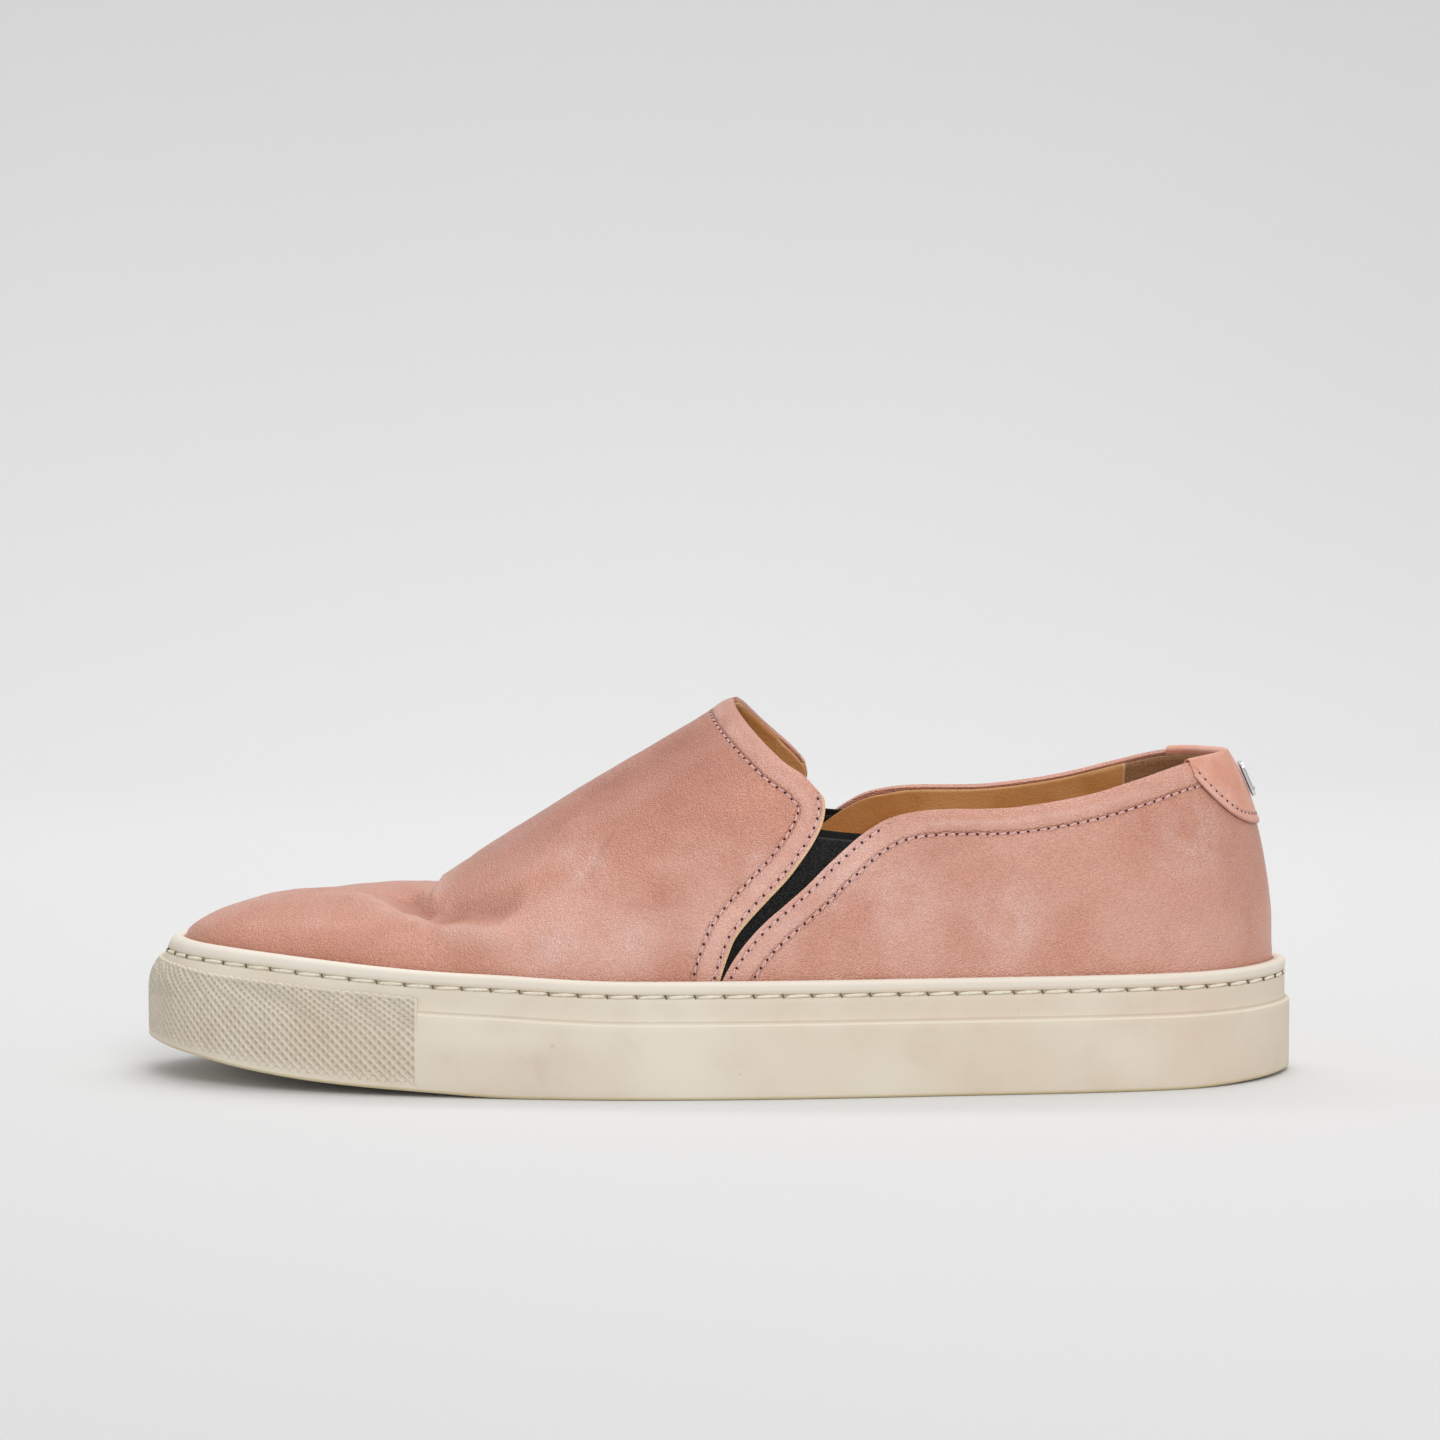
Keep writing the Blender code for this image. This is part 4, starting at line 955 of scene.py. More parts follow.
RIDGE = (
    (0.145, 0.000, 1.040, 0.000),
    (0.230, 0.000, 0.985, -0.020),
    (0.300, 0.000, 0.975, 0.000),
    (0.380, 0.000, 1.020, 0.060),
    (0.430, 0.000, 1.060, 0.110),
    (0.465, 0.000, 1.030, 0.130),
    (0.488, 0.000, 0.990, 0.130),
    (0.508, 0.000, 0.946, 0.125),
    (0.534, 0.000, 0.877, 0.120),
    (0.561, 0.000, 0.808, 0.115),
    (0.587, 0.000, 0.742, 0.110),
    (0.613, 0.000, 0.672, 0.105),
    (0.640, 0.000, 0.604, 0.100),
    (0.666, 0.000, 0.532, 0.095),
    (0.692, 0.000, 0.458, 0.090),
    (0.719, 0.000, 0.377, 0.090),
    (0.732, 0.000, 0.328, 0.090),
    (0.744, 1.080, 0.000, 0.090),
    (0.758, 1.075, 0.000, 0.090),
    (0.790, 1.060, 0.000, 0.090),
    (0.839, 0.985, 0.000, 0.084),
)
TOE_CREST = 0.839
TOE_ROUND_LOW = 0.40
TOE_ROUND_TOP = 0.50

# Fullness of the half sections, as handle lengths of a cubic curve from leather line to ridge.
# Columns: share of LENGTH from the heel, lateral low, lateral top, medial low, medial top.

FULLNESS = (
    (0.015, 0.75, 0.42, 0.75, 0.42),
    (0.060, 0.73, 0.45, 0.73, 0.45),
    (0.150, 0.68, 0.50, 0.68, 0.50),
    (0.300, 0.60, 0.55, 0.62, 0.55),
    (0.480, 0.50, 0.46, 0.55, 0.50),
    (0.600, 0.48, 0.44, 0.52, 0.52),
    (0.690, 0.48, 0.46, 0.52, 0.56),
    (0.745, 0.50, 0.50, 0.54, 0.60),
    (0.800, 0.54, 0.55, 0.55, 0.62),
    (0.860, 0.57, 0.60, 0.57, 0.62),
    (0.960, 0.60, 0.60, 0.60, 0.60),
)

# Lateral edge of the quarter, up from the foot of the gore slit and back along the collar.
# Columns: share of LENGTH from the heel, share of COLLAR_RISE, share of HEEL_RISE.

QUARTER_EDGE = (
    (0.5024, 0.000, 0.000),
    (0.4969, 0.075, 0.000),
    (0.4908, 0.145, 0.000),
    (0.4797, 0.248, 0.000),
    (0.4654, 0.352, 0.000),
    (0.4475, 0.458, 0.000),
    (0.4305, 0.561, 0.000),
    (0.4149, 0.667, 0.000),
    (0.3980, 0.773, 0.000),
    (0.3858, 0.843, 0.000),
    (0.3746, 0.896, 0.000),
    (0.3617, 0.944, 0.000),
    (0.3414, 0.980, 0.000),
    (0.3156, 0.997, 0.000),
    (0.2780, 1.000, 0.000),
    (0.2481, 0.988, 0.018),
    (0.1875, 0.660, 0.330),
    (0.1427, 0.300, 0.680),
    (0.1014, 0.080, 0.918),
    (0.0700, 0.000, 1.000),
    (0.0000, 0.000, 1.010),
)
SLIT_ROWS = 12

# Lateral edge of the vamp, up the front of the gore slit to its rounded corner, and on up to the ridge.
# Columns: share of LENGTH from the heel, share of INSTEP_RISE.

SLIT_EDGE = (
    (0.5041, 0.000),
    (0.5010, 0.046),
    (0.4976, 0.089),
    (0.4915, 0.153),
    (0.4803, 0.217),
    (0.4617, 0.303),
    (0.4471, 0.368),
    (0.4353, 0.432),
    (0.4247, 0.498),
    (0.4169, 0.563),
    (0.4139, 0.618),
)
THROAT_LATERAL = (
    (0.4146, 0.658),
    (0.4227, 0.700),
    (0.4315, 0.739),
    (0.4471, 0.783),
    (0.4634, 0.848),
    (0.4780, 0.918),
    (0.4863, 0.968),
    (0.4878, 1.000),
)
THROAT_MEDIAL = (
    (0.4190, 0.677),
    (0.4217, 0.731),
    (0.4349, 0.795),
    (0.4597, 0.894),
    (0.4770, 0.970),
    (0.4845, 0.996),
    (0.4878, 1.000),
)
CORNER_ROWS = {-1: 1, 1: 2}

# Creases of the vamp, in millimetres: height, negative for a trough, half the breadth ahead of its line and
# behind it, and the line's points, each a place along the shoe and a distance round from the ridge, negative
# on the lateral side.

CREASES = (
    (-3.0, 6.5, 2.4, ((-80.0, -11.0), (-78.0, -18.0), (-76.0, -25.0), (-73.5, -31.0))),
    (-1.8, 3.5, 6.5, ((-73.5, -30.0), (-66.0, -36.5), (-58.0, -42.0), (-50.0, -45.0))),
    (1.6, 5.0, 1.5, ((-95.0, -13.0), (-89.0, -21.0), (-82.5, -28.5), (-76.5, -34.0), (-70.0, -39.0))),
    (1.1, 5.0, 2.2, ((-72.0, -38.5), (-66.0, -43.5), (-59.0, -49.0), (-52.0, -54.0))),
    (1.7, 0.8, 7.0, ((-69.8, 1.0), (-71.2, -8.0), (-72.8, -16.0), (-73.4, -25.0))),
    (-1.2, 11.0, 11.0, ((-46.0, -32.0), (-30.0, -42.0))),
    (-0.7, 6.0, 6.0, ((-54.0, -62.0), (-40.0, -66.0))),
    (-1.6, 6.8, 6.8, ((-78.0, 21.0), (-63.0, 45.0))),
    (0.8, 5.0, 5.0, ((-92.0, 26.0), (-74.0, 46.0))),
)

RIDGE_RISE = [(u, toe * TOE_BOX_RISE + instep * INSTEP_RISE) for u, toe, instep, _place in RIDGE]
RIM_RISE = [(u, side * COLLAR_RISE + back * HEEL_RISE) for u, side, back in QUARTER_EDGE]
HEEL_PIVOT = along(RIDGE[0][0])
TIP_X = FEATHER[TOE_TIP][0]
SIDES = {side: side_line(FEATHER, side) for side in (-1, 1)}


def half_breadth(x, side):
    """Where the leather line of a side lies across the shoe."""
    both = [np.interp(-x, -SIDES[s][:, 0], SIDES[s][:, 1]) for s in (-1, 1)]
    return np.where(side < 0, both[0], both[1])


def ridge_height(x):
    """Height of the last's centre line."""
    crest = along(TOE_CREST)
    back = SOLE_HEIGHT + table(RIDGE_RISE, 1, station(np.maximum(x, crest)))
    low = leather_line(TIP_X)
    top = SOLE_HEIGHT + table(RIDGE_RISE, 1, TOE_CREST)
    t = np.linspace(0, 1, SECTION_STEPS)
    run = 3 * (1 - t) * t * t * (1 - TOE_ROUND_TOP) + t ** 3
    climb = 3 * (1 - t) ** 2 * t * TOE_ROUND_LOW + 3 * (1 - t) * t * t + t ** 3
    share = np.clip((x - TIP_X) / (crest - TIP_X), 0, 1)
    return np.where(x >= crest, back, low + (top - low) * np.interp(share, run, climb))


def bezier(a, b, c, d, t):
    return a * (1 - t) ** 3 + 3 * b * (1 - t) ** 2 * t + 3 * c * (1 - t) * t * t + d * t ** 3


def ribs(feet, side):
    """Half sections from points of the leather line up to the ridge, as rows of points in space."""
    x, y = feet[:, 0], feet[:, 1]
    spine_x = np.clip(x, TIP_X, HEEL_PIVOT)
    ridge_y = table(RIDGE, 3, station(np.maximum(spine_x, along(TOE_CREST)))) * BALL_WIDTH / 2
    low = leather_line(x)
    height_to_ridge = np.maximum(ridge_height(spine_x) - low, 1e-6)
    inward = np.stack([spine_x, ridge_y], axis=1) - feet
    reach = np.linalg.norm(inward, axis=1)
    inward /= np.maximum(reach, 1e-9)[:, None]
    u = station(x)
    lateral = side < 0
    low_handle = np.where(lateral, table(FULLNESS, 1, u), table(FULLNESS, 3, u))
    top_handle = np.where(lateral, table(FULLNESS, 2, u), table(FULLNESS, 4, u))
    swell = BULGE * smooth_step(0.0, 0.2, u) * (1 - smooth_step(0.6, 0.9, u))
    t = np.linspace(0, 1, SECTION_STEPS)[None, :]
    reach, top_reach = reach[:, None], (reach * (1 - top_handle))[:, None]
    across = bezier(0, -swell[:, None], top_reach, reach, t)
    up = height_to_ridge[:, None]
    height = bezier(0, up * low_handle[:, None], up, up, t)
    plan = feet[:, None, :] + inward[:, None, :] * across[:, :, None]
    return raised(plan, low[:, None] + height)


def picked(values, keys, at):
    """For each row, its value where its rising keys reach a number."""
    k = np.clip((keys < at[:, None]).sum(axis=1), 1, keys.shape[1] - 1)
    rows = np.arange(len(keys))
    width = keys[rows, k] - keys[rows, k - 1]
    t = np.clip((at - keys[rows, k - 1]) / np.where(width > 0, width, 1), 0, 1)
    low, high = values[rows, k - 1], values[rows, k]
    return low + (high - low) * (t[:, None] if values.ndim == 3 else t)


def side_points(x, height, side):
    """The last's surface at places along the shoe and heights."""
    x, height, side = np.broadcast_arrays(np.asarray(x, float), height, side)
    made = ribs(np.stack([x, half_breadth(x, side)], axis=1), side)
    return picked(made, made[:, :, 2], height)


def from_ridge(x, side):
    """Half sections as rows from the ridge down, with their running lengths."""
    made = ribs(np.stack([x, half_breadth(x, side)], axis=1), side)[:, ::-1]
    steps = np.linalg.norm(np.diff(made, axis=1), axis=2)
    return made, np.concatenate([np.zeros((len(x), 1)), np.cumsum(steps, axis=1)], axis=1)


def girth_points(x, girth):
    """The last's surface at distances from the ridge, measured round the section. Negative is lateral."""
    made, lengths = from_ridge(x, np.where(girth < 0, -1, 1))
    return picked(made, lengths, np.abs(girth))


def girth_of(x, side, height):
    """Distance round the section from the ridge down to a height."""
    side = side * np.ones(len(x))
    made, lengths = from_ridge(x, side)
    return side * picked(lengths, -made[:, :, 2], -height)


def rim_height(x, side):
    """Height of the quarter's edge, along the slit and the collar."""
    medial = np.where(side > 0, 1.0, 0.0)
    fade = smooth_step(0.0, 0.3, station(x))
    climb = table(RIM_RISE, 1, station(x + MEDIAL_FORWARD * medial * fade))
    return SOLE_HEIGHT + climb + MEDIAL_RAISE * medial * np.minimum(1.0, climb / COLLAR_RISE) * fade


def vamp_edge(side):
    """Rows of the vamp's free edge on one side, from the slit's foot up to the ridge."""
    medial = side > 0
    made = []
    for u, share in SLIT_EDGE:
        lift = MEDIAL_RAISE * float(smooth_step(0.0, 0.5, share)) if medial else 0.0
        made.append((along(u) - MEDIAL_FORWARD * medial, SOLE_HEIGHT + share * INSTEP_RISE + lift))
    for u, share in THROAT_LATERAL if side < 0 else THROAT_MEDIAL:
        made.append((along(u), SOLE_HEIGHT + share * INSTEP_RISE))
    return made


def slit_front(side):
    """The vamp's edge along a slit and round its top corner, as places along the shoe and heights."""
    return curve_through(vamp_edge(side)[:len(SLIT_EDGE) + CORNER_ROWS[side]], 12)


def throat_edge(side):
    """The vamp's edge from a slit's top corner up to the ridge, as places along the shoe and heights."""
    return curve_through(vamp_edge(side)[len(SLIT_EDGE) + CORNER_ROWS[side] - 1:], 12)


def quarter_slit(side):
    """The slit's rear edge as places along the shoe and heights, up to the collar's front."""
    places = [along(row[0]) - MEDIAL_FORWARD * (side > 0) for row in QUARTER_EDGE[:SLIT_ROWS]]
    line = curve_through([(x, 0.0) for x in places], 4)
    line[:, 1] = rim_height(line[:, 0], side)
    return line


def foot_place(x, side):
    """Place on the closed leather line, as a count along FEATHER, of a side's point."""
    at = float(np.interp(-x, -SIDES[side][:, 0], np.arange(len(SIDES[side]))))
    return HEEL_BACK - side * at


def grid_normals(points):
    """Outward directions of a table of points, rows upwards and columns along."""
    normal = unit_rows(np.cross(np.gradient(points, axis=1), np.gradient(points, axis=0)))
    middle = np.array([points[:, :, 0].mean(), points[:, :, 1].mean(), SOLE_HEIGHT])
    return normal if (normal * (points - middle)).sum() > 0 else -normal


def crease_profiles(x, girth):
    """Each crease's height, its narrower half breadth, and its share at places on the vamp."""
    for height, ahead, behind, rows in CREASES:
        line = curve_through(np.array(rows) / 1000, 10)
        shares = lengths_of(line) / lengths_of(line)[-1]
        nearest = np.full(x.shape, np.inf)
        profile = np.zeros_like(x)
        for k, (first, last) in enumerate(zip(line, line[1:])):
            run = last - first
            dx, dg = x - first[0], girth - first[1]
            t = np.clip((dx * run[0] + dg * run[1]) / run.dot(run), 0, 1)
            away_x, away_g = dx - run[0] * t, dg - run[1] * t
            away = away_x ** 2 + away_g ** 2
            breadth = np.where(away_x < 0, ahead, behind) / 1000
            along_it = shares[k] + (shares[k + 1] - shares[k]) * t
            fade = smooth_step(-0.12, 0.22, along_it) * smooth_step(1.12, 0.78, along_it)
            profile = np.where(away < nearest, np.exp(-away / breadth ** 2) * fade, profile)
            nearest = np.minimum(nearest, away)
        yield height / 1000, min(ahead, behind), profile


def crease_height(x, girth):
    """How far the creases lift or sink the leather, how worn their crests are, paler as wear and painted
    sheen, and where their troughs take painted shade.
    """
    lift, worn, dark = np.zeros_like(x), np.zeros_like(x), np.zeros_like(x)
    for height, breadth, profile in crease_profiles(x, girth):
        lift += height * profile
        if height > 0 and breadth < NARROW_CREASE:
            # Narrow crests get wear with painted sheen.
            worn = np.maximum(worn, profile ** 3)
        if height < DEEP_CREASE:
            # Deep troughs take painted shade.
            dark = np.maximum(dark, profile ** 1.5)
    return lift, worn, dark


def uneven(points, waves):
    """Smooth noise at a table of points, the sum of some waves."""
    total = np.zeros(points.shape[:2])
    for height, scale, seed in waves:
        shift = Vector((seed, seed * 0.7, seed * 1.3))
        flat = [noise.noise(Vector(p) * scale + shift) for p in points.reshape(-1, 3)]
        total += height * np.array(flat).reshape(total.shape)
    return total


def lifted(points, lift):
    """A panel moved outwards by heights that fade in above the leather line, with its outward directions."""
    normal = grid_normals(points)
    fade = smooth_step(0.0, FADE_RISE, points[:, :, 2] - points[0, :, 2])
    return points + normal * (lift * fade)[:, :, None], normal


def with_girths(line, side):
    """A line of places and heights as one of places and girths."""
    return np.column_stack([line[:, 0], girth_of(line[:, 0], side, line[:, 1])])


def vamp_table(columns, rows, rim_drop=0.0):
    """Places and girths of the vamp, a row at a time, from the leather line up to the throat."""
    throat = {side: with_girths(throat_edge(side), side) for side in (-1, 1)}
    slit = {side: with_girths(slit_front(side), side) for side in (-1, 1)}
    whole = np.concatenate([throat[-1], throat[1][::-1][1:]])
    lateral = foot_place(slit[-1][0][0], -1)
    medial = foot_place(slit[1][0][0], 1) + len(FEATHER)
    even = np.linspace(0, 1, columns * 4 + 1)
    density = 1 + CREASE_CROWD * np.exp(-((even - CREASE_ZONE[0]) / CREASE_ZONE[1]) ** 2)
    climb = np.concatenate([[0], np.cumsum((density[1:] + density[:-1]) / 2)])
    shares = np.interp(np.linspace(0, 1, columns + 1), climb / climb[-1], even)
    places = spread(FEATHER, lateral, medial, 2000)
    feet = on_loop(FEATHER, np.interp(shares, np.linspace(0, 1, 2001), places))
    toe = int(np.argmin(feet[:, 0]))
    side = np.where(np.arange(columns + 1) < toe, -1, 1)
    start = np.column_stack([feet[:, 0], girth_of(feet[:, 0], side, leather_line(feet[:, 0]))])
    end = places_on(whole, shares)
    w = np.linspace(0, 1, rows + 1) ** ROW_CROWD
    near = 1 - smooth_step(0.0, 0.25, np.minimum(shares, 1 - shares))
    at = start[None] + (end - start)[None] * w[:, None, None]
    for s in (-1, 1):
        first, last = slit[s][0], slit[s][-1]
        off_line = places_on(slit[s], w) - (first + (last - first) * w[:, None])
        at += (near * (side == s))[None, :, None] * off_line[:, None, :]
    if rim_drop:
        reach = np.linalg.norm(end - start, axis=1)
        at = at + (start - end)[None] * (rim_drop / reach * w[:, None] ** RIM_CROWD)[:, :, None]
    return at, feet


def foot_points(feet, drop=0.0):
    """Points at a drop below the leather line."""
    return raised(feet, leather_line(feet[:, 0]) - drop)


def vamp_skin(columns, rows, rim_drop=0.0):
    """The vamp's outer surface, creases included, with its outward directions, foot line and tones."""
    at, feet = vamp_table(columns, rows, rim_drop)
    flat = at.reshape(-1, 2)
    points = girth_points(flat[:, 0], flat[:, 1]).reshape(*at.shape[:2], 3)
    points[0] = foot_points(feet)
    lift, worn, dark = crease_height(at[:, :, 0], at[:, :, 1])
    points, normal = lifted(points, lift + uneven(points, VAMP_WAVES))
    return points, normal, feet, {"worn": worn, "dark": dark}


def with_margin(points, feet, drops=(0.0105, 0.0022)):
    """Adds rows below the leather line, where the panel runs down into the cup of the sole."""
    return np.concatenate([np.array([foot_points(feet, drop) for drop in drops]), points])


vamp_points, vamp_normals, vamp_feet, vamp_tones = vamp_skin(VAMP_COLUMNS, VAMP_ROWS)


def rib_to_rim(foot, side):
    """A half section from a point of the leather line, and the height at which it meets the collar."""
    rib = ribs(foot[None], np.array([side]))[0]
    over = rib[:, 2] - rim_height(rib[:, 0], side)
    n = int(np.argmax(over > 0))
    t = over[n - 1] / (over[n - 1] - over[n])
    return rib, rib[n - 1, 2] + (rib[n, 2] - rib[n - 1, 2]) * t


def quarter_skin(columns, rows, rim_drop=0.0):
    """The quarters' outer surface, from the medial slit round the heel to the lateral slit."""
    medial = foot_place(along(QUARTER_EDGE[0][0]) - MEDIAL_FORWARD, 1)
    lateral = foot_place(along(QUARTER_EDGE[0][0]), -1)
    feet = on_loop(FEATHER, spread(FEATHER, medial, lateral, columns))
    w = np.linspace(0, 1, rows + 1)
    made = np.zeros((rows + 1, columns + 1, 3))
    for k, foot in enumerate(feet):
        side = 1 if k <= columns / 2 else -1
        slant = float(1 - smooth_step(0.0, SLIT_LEAN_REACH, min(k, columns - k) / columns))
        lean = quarter_slit(side)
        run = lean[-1][0] - lean[0][0]
        if slant < 1e-6 or foot[0] > HEEL_PIVOT - run * slant:
            rib, rim = rib_to_rim(foot, side)
            made[:, k] = at_keys(rib, rib[:, 2], rib[0, 2] + (rim - rim_drop - rib[0, 2]) * w)
            continue
        low = leather_line(foot[0])
        high = rim_height(foot[0] + run * slant, side) - rim_drop
        at = places_on(lean, w)
        height = low + (high - low) * (at[:, 1] - lean[0][1]) / (lean[-1][1] - lean[0][1])
        x = foot[0] + (at[:, 0] - lean[0][0]) * slant
        made[:, k] = side_points(x, height, side)
    made[0] = foot_points(feet)
    return made, feet


quarter_points, quarter_feet = quarter_skin(QUARTER_COLUMNS, QUARTER_ROWS)
back_groove = np.exp(-(quarter_points[:, :, 1] / BACK_GROOVE) ** 2)
back_groove *= smooth_step(0.12, 0.13, quarter_points[:, :, 0])
quarter_lift = uneven(quarter_points, QUARTER_WAVES) - BACK_GROOVE * back_groove
quarter_points, quarter_normals = lifted(quarter_points, quarter_lift)


def edge_lines(points):
    """The free edges of a panel: up its first side, along its top, and down its last side."""
    return points[:, 0], points[-1], points[::-1, -1]


def away_from(points, lines):
    """Distance of each point of a table from the nearest of some lines."""
    samples = []
    for line in lines:
        lengths = lengths_of(line)
        count = max(2, int(lengths[-1] / 0.0003))
        samples.append(places_on(line, np.linspace(0, 1, count)))
    samples = np.concatenate(samples)
    tree = kdtree.KDTree(len(samples))
    for k, sample in enumerate(samples):
        tree.insert(sample, k)
    tree.balance()
    flat = [tree.find(p)[2] for p in points.reshape(-1, 3)]
    return np.array(flat).reshape(points.shape[:-1])


def panel(name, points, feet, leather, tones):
    """A leather panel, with each point's distance from the free edges and from the slits alone."""
    first, top, last = edge_lines(points)
    full = with_margin(points, feet)
    values = {"edge": away_from(full, (first, top, last)), "slit": away_from(full, (first, last))}
    for key, tone in tones.items():
        values[key] = np.concatenate([np.zeros((2, tone.shape[1])), tone])
    roll = np.clip(values["edge"] / SEAM_INSET, 0, 1)
    roll = PADDING * np.sin(math.pi * roll) * smooth_step(0.004, 0.012, values["slit"])
    full = full + grid_normals(full) * roll[:, :, None]
    made = sheet(name, full, values, leather, LEATHER, rounding=LEATHER * 0.45)
    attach(made, "root")
    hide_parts("upper")


# Painted highlights, where the leather catches the light: along the shoe, above the ground, and how far each
# reaches.

SHINE_SPOTS = (
    (-0.0420, 0.0365, 0.013), (-0.0240, 0.0370, 0.012), (-0.0060, 0.0375, 0.007), (0.0080, 0.0597, 0.007),
    (0.0250, 0.0520, 0.012), (0.0446, 0.0480, 0.014), (0.0320, 0.0600, 0.009), (0.0700, 0.0440, 0.016),
    (0.0180, 0.0420, 0.008), (-0.0350, 0.0560, 0.010), (0.1180, 0.0620, 0.015),
)


def leather_finish(name, raw_slit):
    """Dyed and polished calf, darker over the instep, paler between its seams and edges, with painted sheen
    low down and on worn spots, painted highlights, and painted shade in seam grooves and crease troughs.
    """
    material, place, shader = finish_named(name)
    forward, height, edge, slit = place.part(0), place.part(2), place.measured("edge"), place.measured("slit")
    patches = place.noise(21.0, 3.0, 0.55).ramp(0.25, 0.57)
    blotches = place.noise(70.0, 4.0, 0.55).ramp(0.4, 0.75)
    speckle = place.noise(2300.0, 2.0, 0.6).ramp(0.38, 0.66)
    grain = 1 - place.cells(2200.0)
    # Low on the vamp's sides the leather is painted paler as painted sheen; spots there are worn and
    # glossier, with painted sheen too.
    low = height.ramp(0.075, 0.035) * forward.ramp(-0.10, -0.04)
    worn = low * place.noise(38.0, 2.0).ramp(0.40, 0.60)
    instep = (height - forward * INSTEP_SLOPE).ramp(0.066, 0.088)
    instep = instep * forward.ramp(0.022, 0.004) * forward.ramp(-0.085, -0.06)
    # Painted highlights at the shine spots, broken into painted glints by the grain; the spots are also
    # glossier.
    shine = 0
    beside = place.stretched((1.0, 0.0, 1.0))
    for x, z, breadth in SHINE_SPOTS:
        inputs = {0: beside, 1: (x, 0.0, z)}
        away = place.node("ShaderNodeVectorMath", {"operation": "DISTANCE"}, inputs, output=1)
        shine = away.ramp(breadth, 0.0) + shine
    shine = shine * place.noise(120.0, 3.0, 0.6).ramp(0.3, 0.65)
    sparkle = grain.ramp(0.35, 0.75) * place.noise(1300.0, 1.0).ramp(0.35, 0.6)
    # The padded roll between seam and edge, lit along its crown: painted highlight.
    rolled_highlight = edge.ridge(SEAM_INSET * 0.62, SEAM_INSET * 0.28) * place.noise(90.0, 2.0).ramp(0.35, 0.6)
    seam = edge.ridge(SEAM_INSET, 0.0011)
    near_slit = slit.ridge(SLIT_SEAM_INSET, 0.0008)
    colour = layered(
        patches.tint(ROSE_DEEP, ROSE),
        (blotches * 0.28, ROSE_PALE),
        (speckle * 0.38, SPECKLE),
        # Painted sheen low down and on the worn, glossier spots.
        (low * 0.15 + worn * 0.35, ROSE_PALE),
        (instep * (0.5 + blotches * 0.35), ROSE_DARK),
        # Painted highlights and glints.
        (shine * (0.2 + sparkle * 0.75), SHINE),
        # Painted highlight along the padded roll.
        (rolled_highlight * (0.16 + sparkle * 0.2), SHINE),
        # Crease troughs darkened: painted shade.
        (place.measured("dark") * 0.6, CREASE_TROUGH_SHADE),
        # Crests of the narrow creases paler: wear with painted sheen.
        (place.measured("worn") * 0.35, CREASE_WORN_SHEEN),
        (edge.ramp(SEAM_INSET, SEAM_INSET * 0.8) * 0.3, ROSE_PALE),
        # The seam's groove darkened: painted shade.
        (seam * 0.12, ROSE_DEEP),
    )
    if raw_slit:
        colour = slit.ramp(0.0008, 0.0005).tint(colour, RAW_EDGE)
    wrinkles = place.noise(480.0, 3.0, 0.6, stretch=(1.6, 1.0, 0.6)).ramp(0.35, 0.75)
    small = (grain * 0.9 + place.noise(2600.0, 1.0) * 0.2 + wrinkles * 0.25).bump(0.00038)
    large = (1 - seam - near_slit * 0.5).bump(0.0006, 0.9, over=small)
    gloss = 0.36 + patches * 0.04 + speckle * 0.10 - worn * 0.1 - shine * 0.16
    set_finish(
        shader, {"Base Color": colour, "Roughness": gloss, "Normal": large},
        Specular_IOR_Level=0.6, Coat_Weight=0.25, Coat_Roughness=0.26,
    )
    return material


vamp_leather = leather_finish("rose_leather_vamp", True)
quarter_leather = leather_finish("rose_leather_quarters", False)
panel("vamp", vamp_points, vamp_feet, vamp_leather, vamp_tones)
panel("quarters", quarter_points, quarter_feet, quarter_leather, {})

# Lining
# Natural tan calf glued inside the leather, cut a hair lower than its edge. Round the heel it is a suede
# counter patch, darker from wear. Beside the slits it lies over the elastic.

LINING = 0.0006
LINING_DROP = 0.0008
LINING_STEP = 0.0012
TAN = srgb(220, 168, 110)
TAN_DEEP = srgb(200, 143, 84)
SUEDE = srgb(166, 128, 92)
SUEDE_DEEP = srgb(140, 104, 72)
SUEDE_EDGE = srgb(222, 190, 150)
SUEDE_FRONT = 0.107
FLAP_ROOM = 0.0007

lining_leather, lining_place, lining_shader = finish_named("tan_lining")
lining_patch = lining_place.noise(60.0, 3.0).ramp(0.3, 0.7)
suede = lining_place.part(0).ramp(SUEDE_FRONT, SUEDE_FRONT + 0.0006)
suede_colour = lining_place.noise(1500.0, 3.0, 0.7).ramp(0.3, 0.7).tint(SUEDE_DEEP, SUEDE)
lining_colour = layered(
    lining_patch.tint(TAN_DEEP, TAN),
    (suede, suede_colour),
    (lining_place.part(0).ridge(SUEDE_FRONT, 0.0005) * 0.8, SUEDE_EDGE),
)
lining_step = lining_place.part(0).ridge(SUEDE_FRONT, 0.0008)
lining_relief = (1 - lining_place.cells(1400.0)) * 0.4 + lining_place.noise(500.0, 3.0) * 0.5 - lining_step
set_finish(
    lining_shader,
    {
        "Base Color": lining_colour,
        "Roughness": suede * 0.45 + 0.42,
        "Normal": lining_relief.bump(0.00032, 0.8),
    },
    Specular_IOR_Level=0.4,
)


